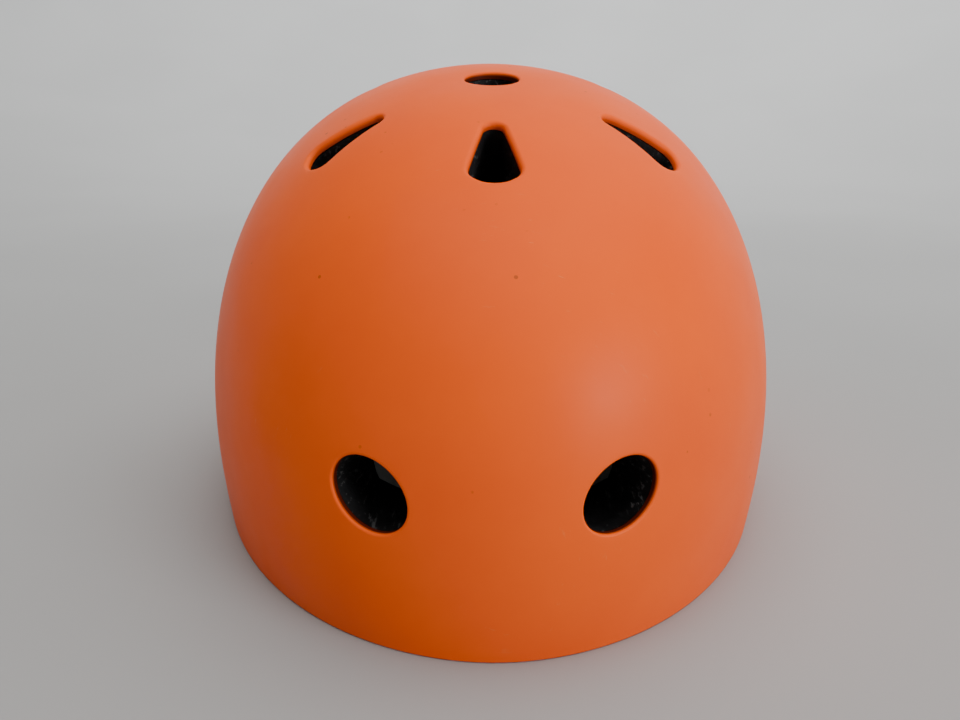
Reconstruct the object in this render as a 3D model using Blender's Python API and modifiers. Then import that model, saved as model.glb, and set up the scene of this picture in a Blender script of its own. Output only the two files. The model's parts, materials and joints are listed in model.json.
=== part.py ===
"""Water sports helmet: vented hard shell, foam liner, comfort pads, rear fit cradle with a dial,
chin harness with strap dividers and a side-release buckle.

Metres, +Z up.  The plane X = 0 is the plane of symmetry, the brow faces -Y, the wearer's left is +X.
The helmet stands on its rim at Z = 0, centred on the origin.
"""
import bpy
import bmesh
from math import acos, asin, atan, cos, pi, radians, sin
from mathutils import Matrix, Vector
from mathutils.geometry import convex_hull_2d, interpolate_bezier

MM = 0.001

# The dome: half of a superellipsoid that leans back, on a skirt that runs down to the rim
HALF_WIDTH = 101.8 * MM
FRONT_REACH = 133.8 * MM
REAR_REACH = 121.9 * MM
DOME_HEIGHT = 126.2 * MM
LEAN = 0.2425                    # radians that the dome's axis leans back
EQUATOR_HEIGHT = 22.26 * MM
PLAN_POWER_FRONT = 1.95
PLAN_POWER_REAR = 1.906
DOME_POWER = 2.344
SIDE_TUCK = 3.1                  # inward curve of the skirt, per metre squared
REAR_TUCK = 48.0                 # the same at the nape
SKIRT_LENGTH = 90 * MM

# Wall build-up, from the outside in
GAP = 0.3 * MM
SHELL_WALL = 2.2 * MM
LINER_WALL = 16.8 * MM
LINER_DEPTH = SHELL_WALL + 0.7 * MM
LINER_BOTTOM = 7.0 * MM
HOOK_WALL = 0.9 * MM
PAD_WALL = 6.0 * MM
HOOK_DEPTH = LINER_DEPTH + LINER_WALL + 1.0 * MM
PAD_DEPTH = HOOK_DEPTH + HOOK_WALL + GAP

# Vents
CROWN_VENT_RADIUS = 8.8 * MM
PETAL_AZIMUTHS = (0, 56.5, 118, 180, -118, -56.5)
PETAL_RING_RADIUS = 53.7 * MM
PETAL_LENGTH = 26.8 * MM
PETAL_WIDTH = 14.0 * MM
PETAL_TIP_RADIUS = 3.1 * MM
PETAL_CORNER_RADIUS = 3.3 * MM
PETAL_ARC_RADIUS = 10.5 * MM
OVAL_HALF_LENGTH = 11.8 * MM
OVAL_HALF_HEIGHT = 9.4 * MM
OVAL_ROLL = radians(25.4)
OVAL_SIDE_ANGLE = radians(19.75)
OVAL_CLIMB = {"front": radians(21.6), "rear": radians(3)}
LINER_VENT_SCALE = 0.92
VENT_NUDGE = radians(0.06)       # keeps the cutters' corners off the edges of the dome's mesh
SHELL_CUT = 24 * MM              # length of the cutters for the shell's vents
LINER_CUT = 70 * MM              # and for the liner's, which run through its whole wall

# Harness
WEB_WIDTH = 15 * MM
WEB_WALL = 1.4 * MM
ANCHOR_WIDTH = 21 * MM
ANCHOR_HEIGHT = 20 * MM
ANCHOR_WALL = 4.2 * MM
PLATE_DEPTH = HOOK_DEPTH + 1.1 * MM + ANCHOR_WALL / 2
ANCHOR_Z = 42 * MM
ANCHOR_ANGLE_FRONT = radians(-22)
ANCHOR_ANGLE_REAR = radians(23)
ANCHOR_CORNER = 4 * MM
NUT_TOP_DEPTH = LINER_DEPTH + 0.9 * MM
NUT_FLANGE_RADIUS = 8 * MM
NUT_FLANGE_WALL = 2 * MM
NUT_BARREL_RADIUS = 3.2 * MM
NUT_LENGTH = 11 * MM
SCREW_RADIUS = 1.5 * MM
SCREW_LENGTH = 16 * MM
SCREW_HEAD_RADIUS = 3.4 * MM
SCREW_HEAD_HEIGHT = 1.8 * MM
SHANK_WAY_RADIUS = 2.5 * MM
HARNESS_Y = 9 * MM
WEB_Z = 4.2 * MM
STRAP_DROP = 20 * MM             # how far a side strap keeps its first heading
STRAP_LEAD = 26 * MM             # how far it lies level before the divider
STRAP_HOLD = 2 * MM              # how far it reaches into the anchor plate

# Strap dividers
DIVIDER_HEIGHT = 6.4 * MM
DIVIDER_WAY = 14 * MM            # length of the way for the chin strap
LEVER_HINGE_X = 53 * MM
LEVER_RADIUS = 1.9 * MM
LEVER_LENGTH = 13.2 * MM
LEVER_HINGE_Z = WEB_Z + DIVIDER_HEIGHT / 2 + LEVER_RADIUS + 0.4 * MM
BLADE_LENGTH = 17 * MM
BLADE_WALL = 1.5 * MM
PIN_RADIUS = 0.65 * MM
PIN_LENGTH = 20 * MM
EAR_WALL = 3 * MM
EAR_OFFSET = 8.5 * MM

# Side-release buckle
BUCKLE_WIDTH = 24 * MM
BUCKLE_HEIGHT = 8 * MM
BUCKLE_MOUTH_X = -4 * MM
FEMALE_LENGTH = 24 * MM
LADDER_LENGTH = 11 * MM
MALE_LENGTH = 16 * MM
CAVITY_WIDTH = 19 * MM
CAVITY_HEIGHT = 5 * MM
WINDOW_LENGTH = 9 * MM
WEB_SLOT = WEB_WIDTH + 1.5 * MM
TONGUE_LENGTH = 16 * MM
TONGUE_WIDTH = 5 * MM
PRONG_LENGTH = 15 * MM
PRONG_HEIGHT = 3.6 * MM
PRONG_ROOT_Y = 6.2 * MM
TAIL_LENGTH = 15 * MM

# Rear fit cradle
CRADLE_Z = 24 * MM
CRADLE_Y = 86 * MM
HOUSING_WIDTH = 44 * MM
HOUSING_DEPTH = 10 * MM
HOUSING_HEIGHT = 27 * MM
BAND_SIDE_X = 61 * MM
BAND_PIVOT_Y = 60 * MM
BAND_WALL = 1.6 * MM
BAND_HEIGHT = 15 * MM
RACK_HEIGHT = 5.2 * MM
PINION_RADIUS = 3.8 * MM
PINION_SHAFT = 2.2 * MM
EYE_OFFSET = 4 * MM
YOKE_SIZE = (62 * MM, 30 * MM, 2 * MM)
YOKE_SLOT = (9 * MM, 14 * MM, 22 * MM)   # width, height and distance from the middle
NAPE_PAD_SIZE = (58 * MM, 26 * MM, 5 * MM)
RATCHET_BORE = 4.4 * MM
RATCHET_RADIUS = 9 * MM
RATCHET_WALL = 1.6 * MM
KNOB_RADIUS = 13 * MM
KNOB_DEPTH = 8 * MM
KNOB_LOBES = 12
KNOB_LOBE_DEPTH = 0.55 * MM


# ---------------------------------------------------------------- scene and materials

for old in list(bpy.data.objects):
    bpy.data.objects.remove(old, do_unlink=True)

PARTS = bpy.data.collections.new("water_helmet")
CUTTERS = bpy.data.collections.new("cutters")
bpy.context.scene.collection.children.link(PARTS)
bpy.context.scene.collection.children.link(CUTTERS)

FINISHES = {
    "shell_orange": ((0.79, 0.20, 0.035), 0.42, 0.0),
    "liner_foam": ((0.012, 0.012, 0.013), 0.75, 0.0),
    "pad_fabric": ((0.03, 0.03, 0.034), 0.9, 0.0),
    "hook_tape": ((0.02, 0.02, 0.02), 0.8, 0.0),
    "webbing": ((0.018, 0.018, 0.02), 0.8, 0.0),
    "black_plastic": ((0.022, 0.022, 0.024), 0.45, 0.0),
    "dial_rubber": ((0.035, 0.035, 0.038), 0.7, 0.0),
    "steel": ((0.62, 0.62, 0.60), 0.3, 1.0),
}


def finish(name):
    """The named material, made the first time it is asked for."""
    if name in bpy.data.materials:
        return bpy.data.materials[name]
    colour, roughness, metallic = FINISHES[name]
    material = bpy.data.materials.new(name)
    material.use_nodes = True
    shader = material.node_tree.nodes["Principled BSDF"]
    shader.inputs["Base Color"].default_value = (*colour, 1)
    shader.inputs["Roughness"].default_value = roughness
    shader.inputs["Metallic"].default_value = metallic
    return material


# ---------------------------------------------------------------- modelling helpers

def add_object(name, mesh, material):
    """A part with its material, or a hidden cutter where material is None."""
    item = bpy.data.objects.new(name, mesh)
    if material is None:
        CUTTERS.objects.link(item)
        item.hide_render = True
        item.display_type = "WIRE"
    else:
        PARTS.objects.link(item)
        mesh.materials.append(finish(material))
    return item


def mesh_from(name, bm):
    """A mesh of the bmesh with its faces pointing out."""
    bmesh.ops.recalc_face_normals(bm, faces=bm.faces)
    mesh = bpy.data.meshes.new(name)
    bm.to_mesh(mesh)
    bm.free()
    return mesh


def box(name, size, centre, material=None):
    """A box of the size about its centre."""
    bm = bmesh.new()
    bmesh.ops.create_cube(bm, size=1)
    bmesh.ops.scale(bm, vec=size, verts=bm.verts)
    item = add_object(name, mesh_from(name, bm), material)
    item.location = centre
    return item


def rod(name, radius, length, centre, axis, material=None, sides=24):
    """A cylinder along an axis."""
    bm = bmesh.new()
    bmesh.ops.create_cone(bm, cap_ends=True, segments=sides, radius1=radius, radius2=radius, depth=length)
    item = add_object(name, mesh_from(name, bm), material)
    item.location = centre
    item.rotation_euler = Vector(axis).to_track_quat("Z", "Y").to_euler()
    smooth(item)
    return item


def plate(name, outline, thickness, material=None):
    """A flat outline, given as (x, y) points, made a plate of the thickness about its middle plane."""
    curve = bpy.data.curves.new(name, "CURVE")
    curve.dimensions = "2D"
    curve.fill_mode = "BOTH"
    curve.extrude = thickness / 2
    spline = curve.splines.new("POLY")
    spline.points.add(len(outline) - 1)
    for point, (x, y) in zip(spline.points, outline):
        point.co = (x, y, 0, 1)
    spline.use_cyclic_u = True
    drawn = bpy.data.objects.new(name + "_outline", curve)
    CUTTERS.objects.link(drawn)
    graph = bpy.context.evaluated_depsgraph_get()
    graph.update()
    mesh = bpy.data.meshes.new_from_object(drawn.evaluated_get(graph))
    bpy.data.objects.remove(drawn, do_unlink=True)
    bm = bmesh.new()
    bm.from_mesh(mesh)
    bmesh.ops.remove_doubles(bm, verts=bm.verts, dist=0.01 * MM)
    return add_object(name, mesh_from(name, bm), material)


def turned(name, profile, centre, axis, material=None, steps=24):
    """A turned piece: (radius, height) points from top to bottom, on a Screw modifier about its axis."""
    mesh = bpy.data.meshes.new(name)
    closed = profile[0] == profile[-1]
    points = [(radius, 0, height) for radius, height in (profile[:-1] if closed else profile)]
    edges = [(i, (i + 1) % len(points)) for i in range(len(profile) - 1)]
    mesh.from_pydata(points, edges, [])
    item = add_object(name, mesh, material)
    screw = item.modifiers.new("turn", "SCREW")
    screw.steps = steps
    screw.render_steps = steps
    screw.use_merge_vertices = True
    screw.merge_threshold = 0.01 * MM
    item.location = centre
    item.rotation_euler = Vector(axis).to_track_quat("Z", "Y").to_euler()
    return item


def place(item, frame):
    """Put an item in a frame of (point, x axis, y axis, z axis)."""
    point, along, across, up = frame
    turn = Matrix((along, across, up)).transposed().to_4x4()
    item.matrix_world = Matrix.Translation(point) @ turn
    return item


def boolean(item, other, operation="DIFFERENCE"):
    """Cut the other object from the item, or join it on."""
    modifier = item.modifiers.new(operation.lower(), "BOOLEAN")
    modifier.operation = operation
    modifier.object = other
    return item


def bevel(item, width, segments=2):
    """Round the item's sharp edges."""
    modifier = item.modifiers.new("bevel", "BEVEL")
    modifier.width = width
    modifier.segments = segments
    modifier.limit_method = "ANGLE"
    modifier.angle_limit = radians(40)
    return item


def smooth(item):
    """Shade an item smooth but for its sharp edges."""
    item.data.shade_smooth()
    item.data.set_sharp_from_angle(angle=radians(35))


def joint_empty(name, point, parent=None):
    """An empty on a joint's axis, to carry what moves about it."""
    empty = bpy.data.objects.new(name, None)
    PARTS.objects.link(empty)
    empty.location = point
    empty.empty_display_size = 10 * MM
    if parent is not None:
        hang(empty, parent)
    return empty


def hang(item, empty):
    """Make an item move with an empty, from where both are."""
    origin = Vector(empty.location)
    item.parent = empty
    item.matrix_parent_inverse = Matrix.Translation(-origin)


def arc(centre, radius, start, end, steps):
    """Points along an arc, angles in degrees."""
    angles = [radians(start + (end - start) * i / steps) for i in range(steps + 1)]
    return [(centre[0] + radius * cos(a), centre[1] + radius * sin(a)) for a in angles]


def hull(points):
    """The convex outline around (x, y) points."""
    return [points[i] for i in convex_hull_2d([Vector(p) for p in points])]


def rounded_box_outline(width, height, radius, steps=3):
    """A rectangle with round corners."""
    x = width / 2 - radius
    y = height / 2 - radius
    corners = [((x, y), 0), ((-x, y), 90), ((-x, -y), 180), ((x, -y), 270)]
    return [p for corner, angle in corners for p in arc(corner, radius, angle, angle + 90, steps)]


def webbing(name, points, widths, wall, material):
    """A flat strap along points, whose half width at each point is a vector across it."""
    bm = bmesh.new()
    rings = []
    for i, (point, half) in enumerate(zip(points, widths)):
        ahead = points[min(i + 1, len(points) - 1)] - points[max(i - 1, 0)]
        half = half - ahead.normalized() * half.dot(ahead.normalized())
        up = ahead.cross(half).normalized() * (wall / 2)
        rings.append([bm.verts.new(point + p) for p in (half + up, -half + up, -half - up, half - up)])
    for (a, b, c, d), (e, f, g, h) in zip(rings, rings[1:]):
        for face in ((a, b, f), (a, f, e), (b, c, g, f), (c, d, g), (d, h, g), (d, a, e, h)):
            bm.faces.new(face)
    bm.faces.new(rings[0])
    bm.faces.new(rings[-1])
    return add_object(name, mesh_from(name, bm), material)


# ---------------------------------------------------------------- the dome's surface

def power(value, exponent):
    """A signed power."""
    return abs(value) ** exponent * (1 if value >= 0 else -1)


def tilted_point(angle, climb):
    """A point on the dome before it is centred.

    angle runs round the plan, 0 at the wearer's left and -90 degrees at the brow.  climb is the angle
    above the equator, up to 90 degrees at the crown.  Below the equator it is a depth down the skirt.
    """
    n = PLAN_POWER_FRONT if sin(angle) < 0 else PLAN_POWER_REAR
    reach = FRONT_REACH if sin(angle) < 0 else REAR_REACH
    if climb >= 0:
        spread = abs(cos(climb)) ** (2 / DOME_POWER)
        rise = DOME_HEIGHT * abs(sin(climb)) ** (2 / DOME_POWER)
    else:
        rise = climb / (pi / 2) * SKIRT_LENGTH
        nape = max(sin(angle), 0) ** 2
        spread = 1 - (SIDE_TUCK + REAR_TUCK * nape) * rise ** 2
    x = HALF_WIDTH * power(cos(angle), 2 / n) * spread
    y = reach * power(sin(angle), 2 / n) * spread
    return Vector((x, y * cos(LEAN) - rise * sin(LEAN), y * sin(LEAN) + rise * cos(LEAN) + EQUATOR_HEIGHT))


def centring_shift():
    """How far the dome moves along Y so that its plan is centred on the origin."""
    climbs = [radians(2 * i) for i in range(-30, 45)]
    standing = [tilted_point(side * pi / 2, c) for side in (-1, 1) for c in climbs]
    reaches = [p.y for p in standing if p.z >= 0]
    return -(min(reaches) + max(reaches)) / 2


SHIFT = Vector((0, centring_shift(), 0))


def dome_frame(angle, climb, depth=0.0):
    """(point, x axis, y axis, z axis) under the dome's surface: x runs round it, y up it, z out of it."""
    step = 0.002
    climb = min(climb, pi / 2 - 2 * step)
    round_it = tilted_point(angle + step, climb) - tilted_point(angle - step, climb)
    up_it = tilted_point(angle, climb + step) - tilted_point(angle, climb - step)
    out = round_it.cross(up_it).normalized()
    along = round_it.normalized()
    point = tilted_point(angle, climb) + SHIFT - out * depth
    return point, along, out.cross(along), out


def dome_patch(bm, depth):
    """Bend a bmesh, whose x is an angle round the dome and y a climb, onto the surface at a depth."""
    for vert in bm.verts:
        vert.co = dome_frame(vert.co.x, vert.co.y, depth)[0]
    bmesh.ops.remove_doubles(bm, verts=bm.verts, dist=0.05 * MM)


def dome_shell(name, depth, wall, segments, rings, material):
    """A closed shell of the whole dome that reaches below Z = 0."""
    bm = bmesh.new()
    bmesh.ops.create_uvsphere(bm, u_segments=segments, v_segments=rings, radius=1)
    for vert in bm.verts:
        unit = vert.co.normalized()
        angle = Vector((unit.x, unit.y)).angle_signed(Vector((1, 0)), 0)
        climb = asin(max(-1, min(1, unit.z)))
        vert.co = dome_frame(angle, climb, depth)[0]
    geometry = bm.verts[:] + bm.edges[:] + bm.faces[:]
    below = (0, 0, -6 * MM)
    bmesh.ops.bisect_plane(bm, geom=geometry, plane_co=below, plane_no=(0, 0, 1), clear_inner=True)
    item = add_object(name, mesh_from(name, bm), material)
    solid = item.modifiers.new("wall", "SOLIDIFY")
    solid.thickness = wall
    solid.offset = -1
    solid.use_even_offset = True
    smooth(item)
    return item


def plan_angle(azimuth):
    """The dome angle of a direction seen along its axis: azimuth 0 is the brow, positive to the left."""
    n = PLAN_POWER_FRONT if cos(azimuth) > 0 else PLAN_POWER_REAR
    reach = FRONT_REACH if cos(azimuth) > 0 else REAR_REACH
    across = (abs(sin(azimuth)) / HALF_WIDTH) ** (n / 2)
    ahead = (abs(cos(azimuth)) / reach) ** (n / 2)
    turn = atan(ahead / across) if across > 1e-6 else pi / 2
    turn = turn if sin(azimuth) >= 0 else pi - turn
    return -turn if cos(azimuth) > 0 else turn


def climb_at(angle, radius):
    """The climb at which the dome's plan has a radius at this angle."""
    equator = tilted_point(angle, 0) - Vector((0, 0, EQUATOR_HEIGHT))
    spread = radius / equator.length
    return acos(spread ** (DOME_POWER / 2))


# ---------------------------------------------------------------- shell, liner and vents

def petal_outline():
    """A teardrop with a narrow end towards the crown (+y), straight flanks and a broad round end."""
    tip_y = PETAL_LENGTH / 2 - PETAL_TIP_RADIUS
    corner_x = PETAL_WIDTH / 2 - PETAL_CORNER_RADIUS
    corner_y = -PETAL_LENGTH / 2 + 5.2 * MM
    arc_y = -PETAL_LENGTH / 2 + PETAL_ARC_RADIUS
    points = arc((0, tip_y), PETAL_TIP_RADIUS, 0, 180, 8)
    points += arc((corner_x, corner_y), PETAL_CORNER_RADIUS, -70, 30, 4)
    points += arc((-corner_x, corner_y), PETAL_CORNER_RADIUS, 150, 250, 4)
    points += arc((0, arc_y), PETAL_ARC_RADIUS, -110, -70, 4)
    return hull(points)


def oval_outline():
    """The ellipse of a low vent."""
    return [(OVAL_HALF_LENGTH * x, OVAL_HALF_HEIGHT * y) for x, y in arc((0, 0), 1, 0, 345, 23)]


def turned_frame(frame, angle):
    """The frame turned about its own z axis."""
    point, along, across, up = frame
    return point, along * cos(angle) + across * sin(angle), across * cos(angle) - along * sin(angle), up


def vents():
    """(name, outline, frame) of every vent."""
    found = [("crown", arc((0, 0), CROWN_VENT_RADIUS, 0, 345, 23), dome_frame(-pi / 2, pi / 2))]
    for azimuth in PETAL_AZIMUTHS:
        angle = plan_angle(radians(azimuth)) + VENT_NUDGE
        frame = dome_frame(angle, climb_at(angle, PETAL_RING_RADIUS))
        found.append((f"petal_{azimuth}", petal_outline(), frame))
    for side in (-1, 1):
        for end, way in (("front", -1), ("rear", 1)):
            angle = way * (pi / 2 - OVAL_SIDE_ANGLE * side)
            frame = turned_frame(dome_frame(angle, OVAL_CLIMB[end]), -OVAL_ROLL * side * way)
            found.append((f"oval_{end}_{side}", oval_outline(), frame))
    return found


def cut_vents(item, scale, reach):
    """Cut every vent through a shell."""
    for name, outline, frame in vents():
        scaled = [(x * scale, y * scale) for x, y in outline]
        cutter = plate(f"{item.name}_{name}_cutter", scaled, reach)
        boolean(item, place(cutter, frame))


def build_shell():
    """The moulded outer shell."""
    shell = dome_shell("outer_shell", 0, SHELL_WALL, 48, 22, "shell_orange")
    boolean(shell, box("floor_cutter", (0.5, 0.5, 0.1), (0, 0, -0.05)))
    cut_vents(shell, 1.0, SHELL_CUT)


def build_liner():
    """The foam liner, open at every vent, bored for the harness anchors."""
    liner = dome_shell("foam_liner", LINER_DEPTH, LINER_WALL, 40, 20, "liner_foam")
    boolean(liner, box("liner_floor_cutter", (0.5, 0.5, 0.1), (0, 0, LINER_BOTTOM - 0.05)))
    cut_vents(liner, LINER_VENT_SCALE, LINER_CUT)
    return liner


# ---------------------------------------------------------------- comfort pads

def curved_piece(name, angles, climbs, depth, wall, counts, material):
    """A piece of even thickness that follows the dome between two angles and two climbs, in degrees."""
    bm = bmesh.new()
    bmesh.ops.create_grid(bm, x_segments=counts[0], y_segments=counts[1], size=0.5)
    for vert in bm.verts:
        vert.co.x = radians(angles[0] + (angles[1] - angles[0]) * (vert.co.x + 0.5))
        vert.co.y = radians(climbs[0] + (climbs[1] - climbs[0]) * (vert.co.y + 0.5))
    dome_patch(bm, depth)
    item = add_object(name, mesh_from(name, bm), material)
    if sum((p.normal.dot(p.center) for p in item.data.polygons)) < 0:
        item.data.flip_normals()
    solid = item.modifiers.new("wall", "SOLIDIFY")
    solid.thickness = wall
    solid.offset = -1
    smooth(item)


PADS = {
    "pad_front": ((-122, -58), (7.5, 16.5), (10, 2)),
    "pad_rear": ((62, 118), (5, 17), (8, 2)),
    "pad_left": ((-9, 9), (0, 15), (4, 3)),
    "pad_right": ((171, 189), (0, 15), (4, 3)),
    "pad_crown": ((-180, 180), (74, 85), (24, 2)),
}
HOOKS = {
    "hook_front_left": ((-76, -68), (9.5, 14.5)),
    "hook_front_right": ((-112, -104), (9.5, 14.5)),
    "hook_rear": ((86, 94), (8, 14)),
    "hook_left": ((-4, 4), (4, 11)),
    "hook_right": ((176, 184), (4, 11)),
    "hook_crown": ((70, 110), (77, 82)),
}


def build_pads():
    """The fabric-covered comfort pads and the hook tape that holds them."""
    for name, (angles, climbs, counts) in PADS.items():
        curved_piece(name, angles, climbs, PAD_DEPTH, PAD_WALL, counts, "pad_fabric")
    for name, (angles, climbs) in HOOKS.items():
        curved_piece(name, angles, climbs, HOOK_DEPTH, HOOK_WALL, (3, 3), "hook_tape")


# ---------------------------------------------------------------- harness anchors and webbing

SIDES = {"left": 1, "right": -1}
ENDS = {"front": ANCHOR_ANGLE_FRONT, "rear": ANCHOR_ANGLE_REAR}


def mirrored(vector, side):
    """The vector on the wearer's left (1) or right (-1)."""
    return Vector((vector.x * side, vector.y, vector.z))


def anchor_frame(end):
    """The frame of a left anchor: z points outwards and level, x is level, the point is on the surface."""
    angle = ENDS[end]
    low, high = -0.2, 0.4
    for _ in range(40):
        middle = (low + high) / 2
        if dome_frame(angle, middle)[0].z < ANCHOR_Z:
            low = middle
        else:
            high = middle
    return dome_frame(angle, low)


def side_frame(frame, side):
    """The frame on the given side, still right-handed."""
    point, along, across, out = [mirrored(v, side) for v in frame]
    return point, along * side, across, out


def nut_profile(clearance):
    """Flanged nut: (radius, height) from its outer flange to the tip of its barrel, top to bottom."""
    flange = NUT_FLANGE_RADIUS + clearance
    barrel = NUT_BARREL_RADIUS + clearance
    flange_end = -NUT_FLANGE_WALL - clearance
    tip = -NUT_LENGTH - clearance
    return [(0, clearance), (flange, clearance), (flange, flange_end),
            (barrel, flange_end), (barrel, tip), (0, tip)]


def build_anchor(end, side_name, liner):
    """One strap anchor: flanged nut behind the foam, plate on its inner face, screw through both."""
    side = SIDES[side_name]
    frame = side_frame(anchor_frame(end), side)
    point, along, across, out = frame
    tag = f"{end}_{side_name}"

    nut_top = point - out * NUT_TOP_DEPTH
    nut = turned(f"anchor_nut_{tag}", nut_profile(0), nut_top, out, "black_plastic", 20)
    bore = rod(f"nut_bore_{tag}", SCREW_RADIUS + GAP, 20 * MM, nut_top - out * 13.5 * MM, out, None, 12)
    boolean(nut, bore)
    pocket = [(r, h + (6 * MM if h > 0 else 0)) for r, h in nut_profile(GAP)]
    boolean(liner, turned(f"nut_pocket_{tag}", pocket, nut_top, out, None, 20))
    shank_way = rod(f"shank_way_{tag}", SHANK_WAY_RADIUS, 14 * MM, nut_top - out * 16 * MM, out, None, 14)
    boolean(liner, shank_way)

    plate_middle = point - out * PLATE_DEPTH
    outline = rounded_box_outline(ANCHOR_WIDTH, ANCHOR_HEIGHT, ANCHOR_CORNER)
    body = plate(f"anchor_plate_{tag}", outline, ANCHOR_WALL, "black_plastic")
    place(body, (plate_middle, along, across, out))
    screw_way = rod(f"screw_way_{tag}", SCREW_RADIUS + GAP, 12 * MM, plate_middle, out, None, 16)
    boolean(body, screw_way)
    web_way = box(f"web_way_{tag}", (WEB_WIDTH + 1.6 * MM, 10 * MM, WEB_WALL + 1.3 * MM), (0, 0, 0))
    boolean(body, place(web_way, (plate_middle - across * ANCHOR_HEIGHT / 2, along, across, out)))

    inner_face = plate_middle - out * (ANCHOR_WALL / 2 + GAP)
    screw_profile = [(0, SCREW_LENGTH), (SCREW_RADIUS, SCREW_LENGTH), (SCREW_RADIUS, 0),
                     (SCREW_HEAD_RADIUS, 0), (SCREW_HEAD_RADIUS * 0.76, -SCREW_HEAD_HEIGHT),
                     (0, -SCREW_HEAD_HEIGHT)]
    screw = turned(f"anchor_screw_{tag}", screw_profile, inner_face, out, "steel", 16)
    slot = box(f"screw_slot_{tag}", (4.4 * MM, 0.9 * MM, 1.6 * MM), (0, 0, 0))
    boolean(screw, place(slot, (inner_face - out * SCREW_HEAD_HEIGHT, along, across, out)))


def divider_entry(end):
    """Where a left strap enters the divider, and its level heading there."""
    way = 1 if end == "rear" else -1
    entry = Vector((62.5 * MM, HARNESS_Y + way * 9.5 * MM, WEB_Z))
    return entry, Vector((-0.72, -0.69 * way, 0)).normalized()


def build_side_strap(end, side_name, steps=11):
    """A strap from inside an anchor plate, down the foam and in to the divider."""
    point, along, across, out = anchor_frame(end)
    start = point - out * PLATE_DEPTH - across * (ANCHOR_HEIGHT / 2 - STRAP_HOLD)
    entry, heading = divider_entry(end)
    down = (Vector((0, 0, -1)) - across * 0.25 - out * 0.08).normalized()
    route = interpolate_bezier(start, start + down * STRAP_DROP, entry - heading * STRAP_LEAD, entry, steps)
    first = along
    last = heading.cross(Vector((0, 0, 1)))
    if first.dot(last) < 0:
        last = -last
    widths = [first.lerp(last, i / (steps - 1)).normalized() * (WEB_WIDTH / 2) for i in range(steps)]
    side = SIDES[side_name]
    webbing(f"strap_{end}_{side_name}", [mirrored(p, side) for p in route],
            [mirrored(w, side) for w in widths], WEB_WALL, "webbing")


# ---------------------------------------------------------------- strap dividers

def build_divider(side_name):
    """A three-way strap divider with a clamp lever hinged on a pin at its inner edge."""
    side = SIDES[side_name]
    points = []
    for x, y, radius in ((54, 9, 4), (54, -9, 4), (57, 16.5, 3), (57, -16.5, 3), (69, 3.5, 3), (69, -3.5, 3)):
        points += arc((x * MM * side, HARNESS_Y + y * MM), radius * MM, 0, 345, 23)
    body = plate(f"divider_{side_name}", hull(points), DIVIDER_HEIGHT, "black_plastic")
    body.location.z = WEB_Z
    way_size = (DIVIDER_WAY, WEB_WIDTH + 1.0 * MM, WEB_WALL + 0.8 * MM)
    boolean(body, box(f"chin_way_{side_name}", way_size, (50 * MM * side, HARNESS_Y, WEB_Z)))
    for end in ENDS:
        entry, heading = divider_entry(end)
        entry = mirrored(entry, side)
        heading = mirrored(heading, side)
        frame = (entry - heading * 6 * MM, heading, Vector((0, 0, 1)).cross(heading), Vector((0, 0, 1)))
        size = (DIVIDER_WAY + 4 * MM, way_size[1], way_size[2])
        cutter = box(f"strap_way_{end}_{side_name}", size, (0, 0, 0))
        boolean(body, place(cutter, frame))
    for way in (-1, 1):
        ear = rod(f"ear_{side_name}_{way}", LEVER_RADIUS + 0.7 * MM, EAR_WALL,
                  (LEVER_HINGE_X * side, HARNESS_Y + EAR_OFFSET * way, LEVER_HINGE_Z), (0, 1, 0), None, 16)
        boolean(body, ear, "UNION")
    pin_centre = (LEVER_HINGE_X * side, HARNESS_Y, LEVER_HINGE_Z)
    pin_way = rod(f"pin_way_{side_name}", PIN_RADIUS + GAP, PIN_LENGTH * 1.2, pin_centre, (0, 1, 0), None, 12)
    boolean(body, pin_way)
    rod(f"lever_pin_{side_name}", PIN_RADIUS, PIN_LENGTH, pin_centre, (0, 1, 0), "steel", 12)

    lever = rod(f"divider_lever_{side_name}", LEVER_RADIUS, LEVER_LENGTH, pin_centre, (0, 1, 0),
                "black_plastic", 16)
    blade_outline = rounded_box_outline(BLADE_LENGTH, LEVER_LENGTH, 3 * MM)
    blade = plate(f"blade_{side_name}", blade_outline, BLADE_WALL)
    blade.location = ((LEVER_HINGE_X + BLADE_LENGTH / 2 + 0.8 * MM) * side, HARNESS_Y,
                      LEVER_HINGE_Z - 0.6 * MM)
    boolean(lever, blade, "UNION")
    boolean(lever, pin_way)


# ---------------------------------------------------------------- buckle and chin straps

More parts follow.
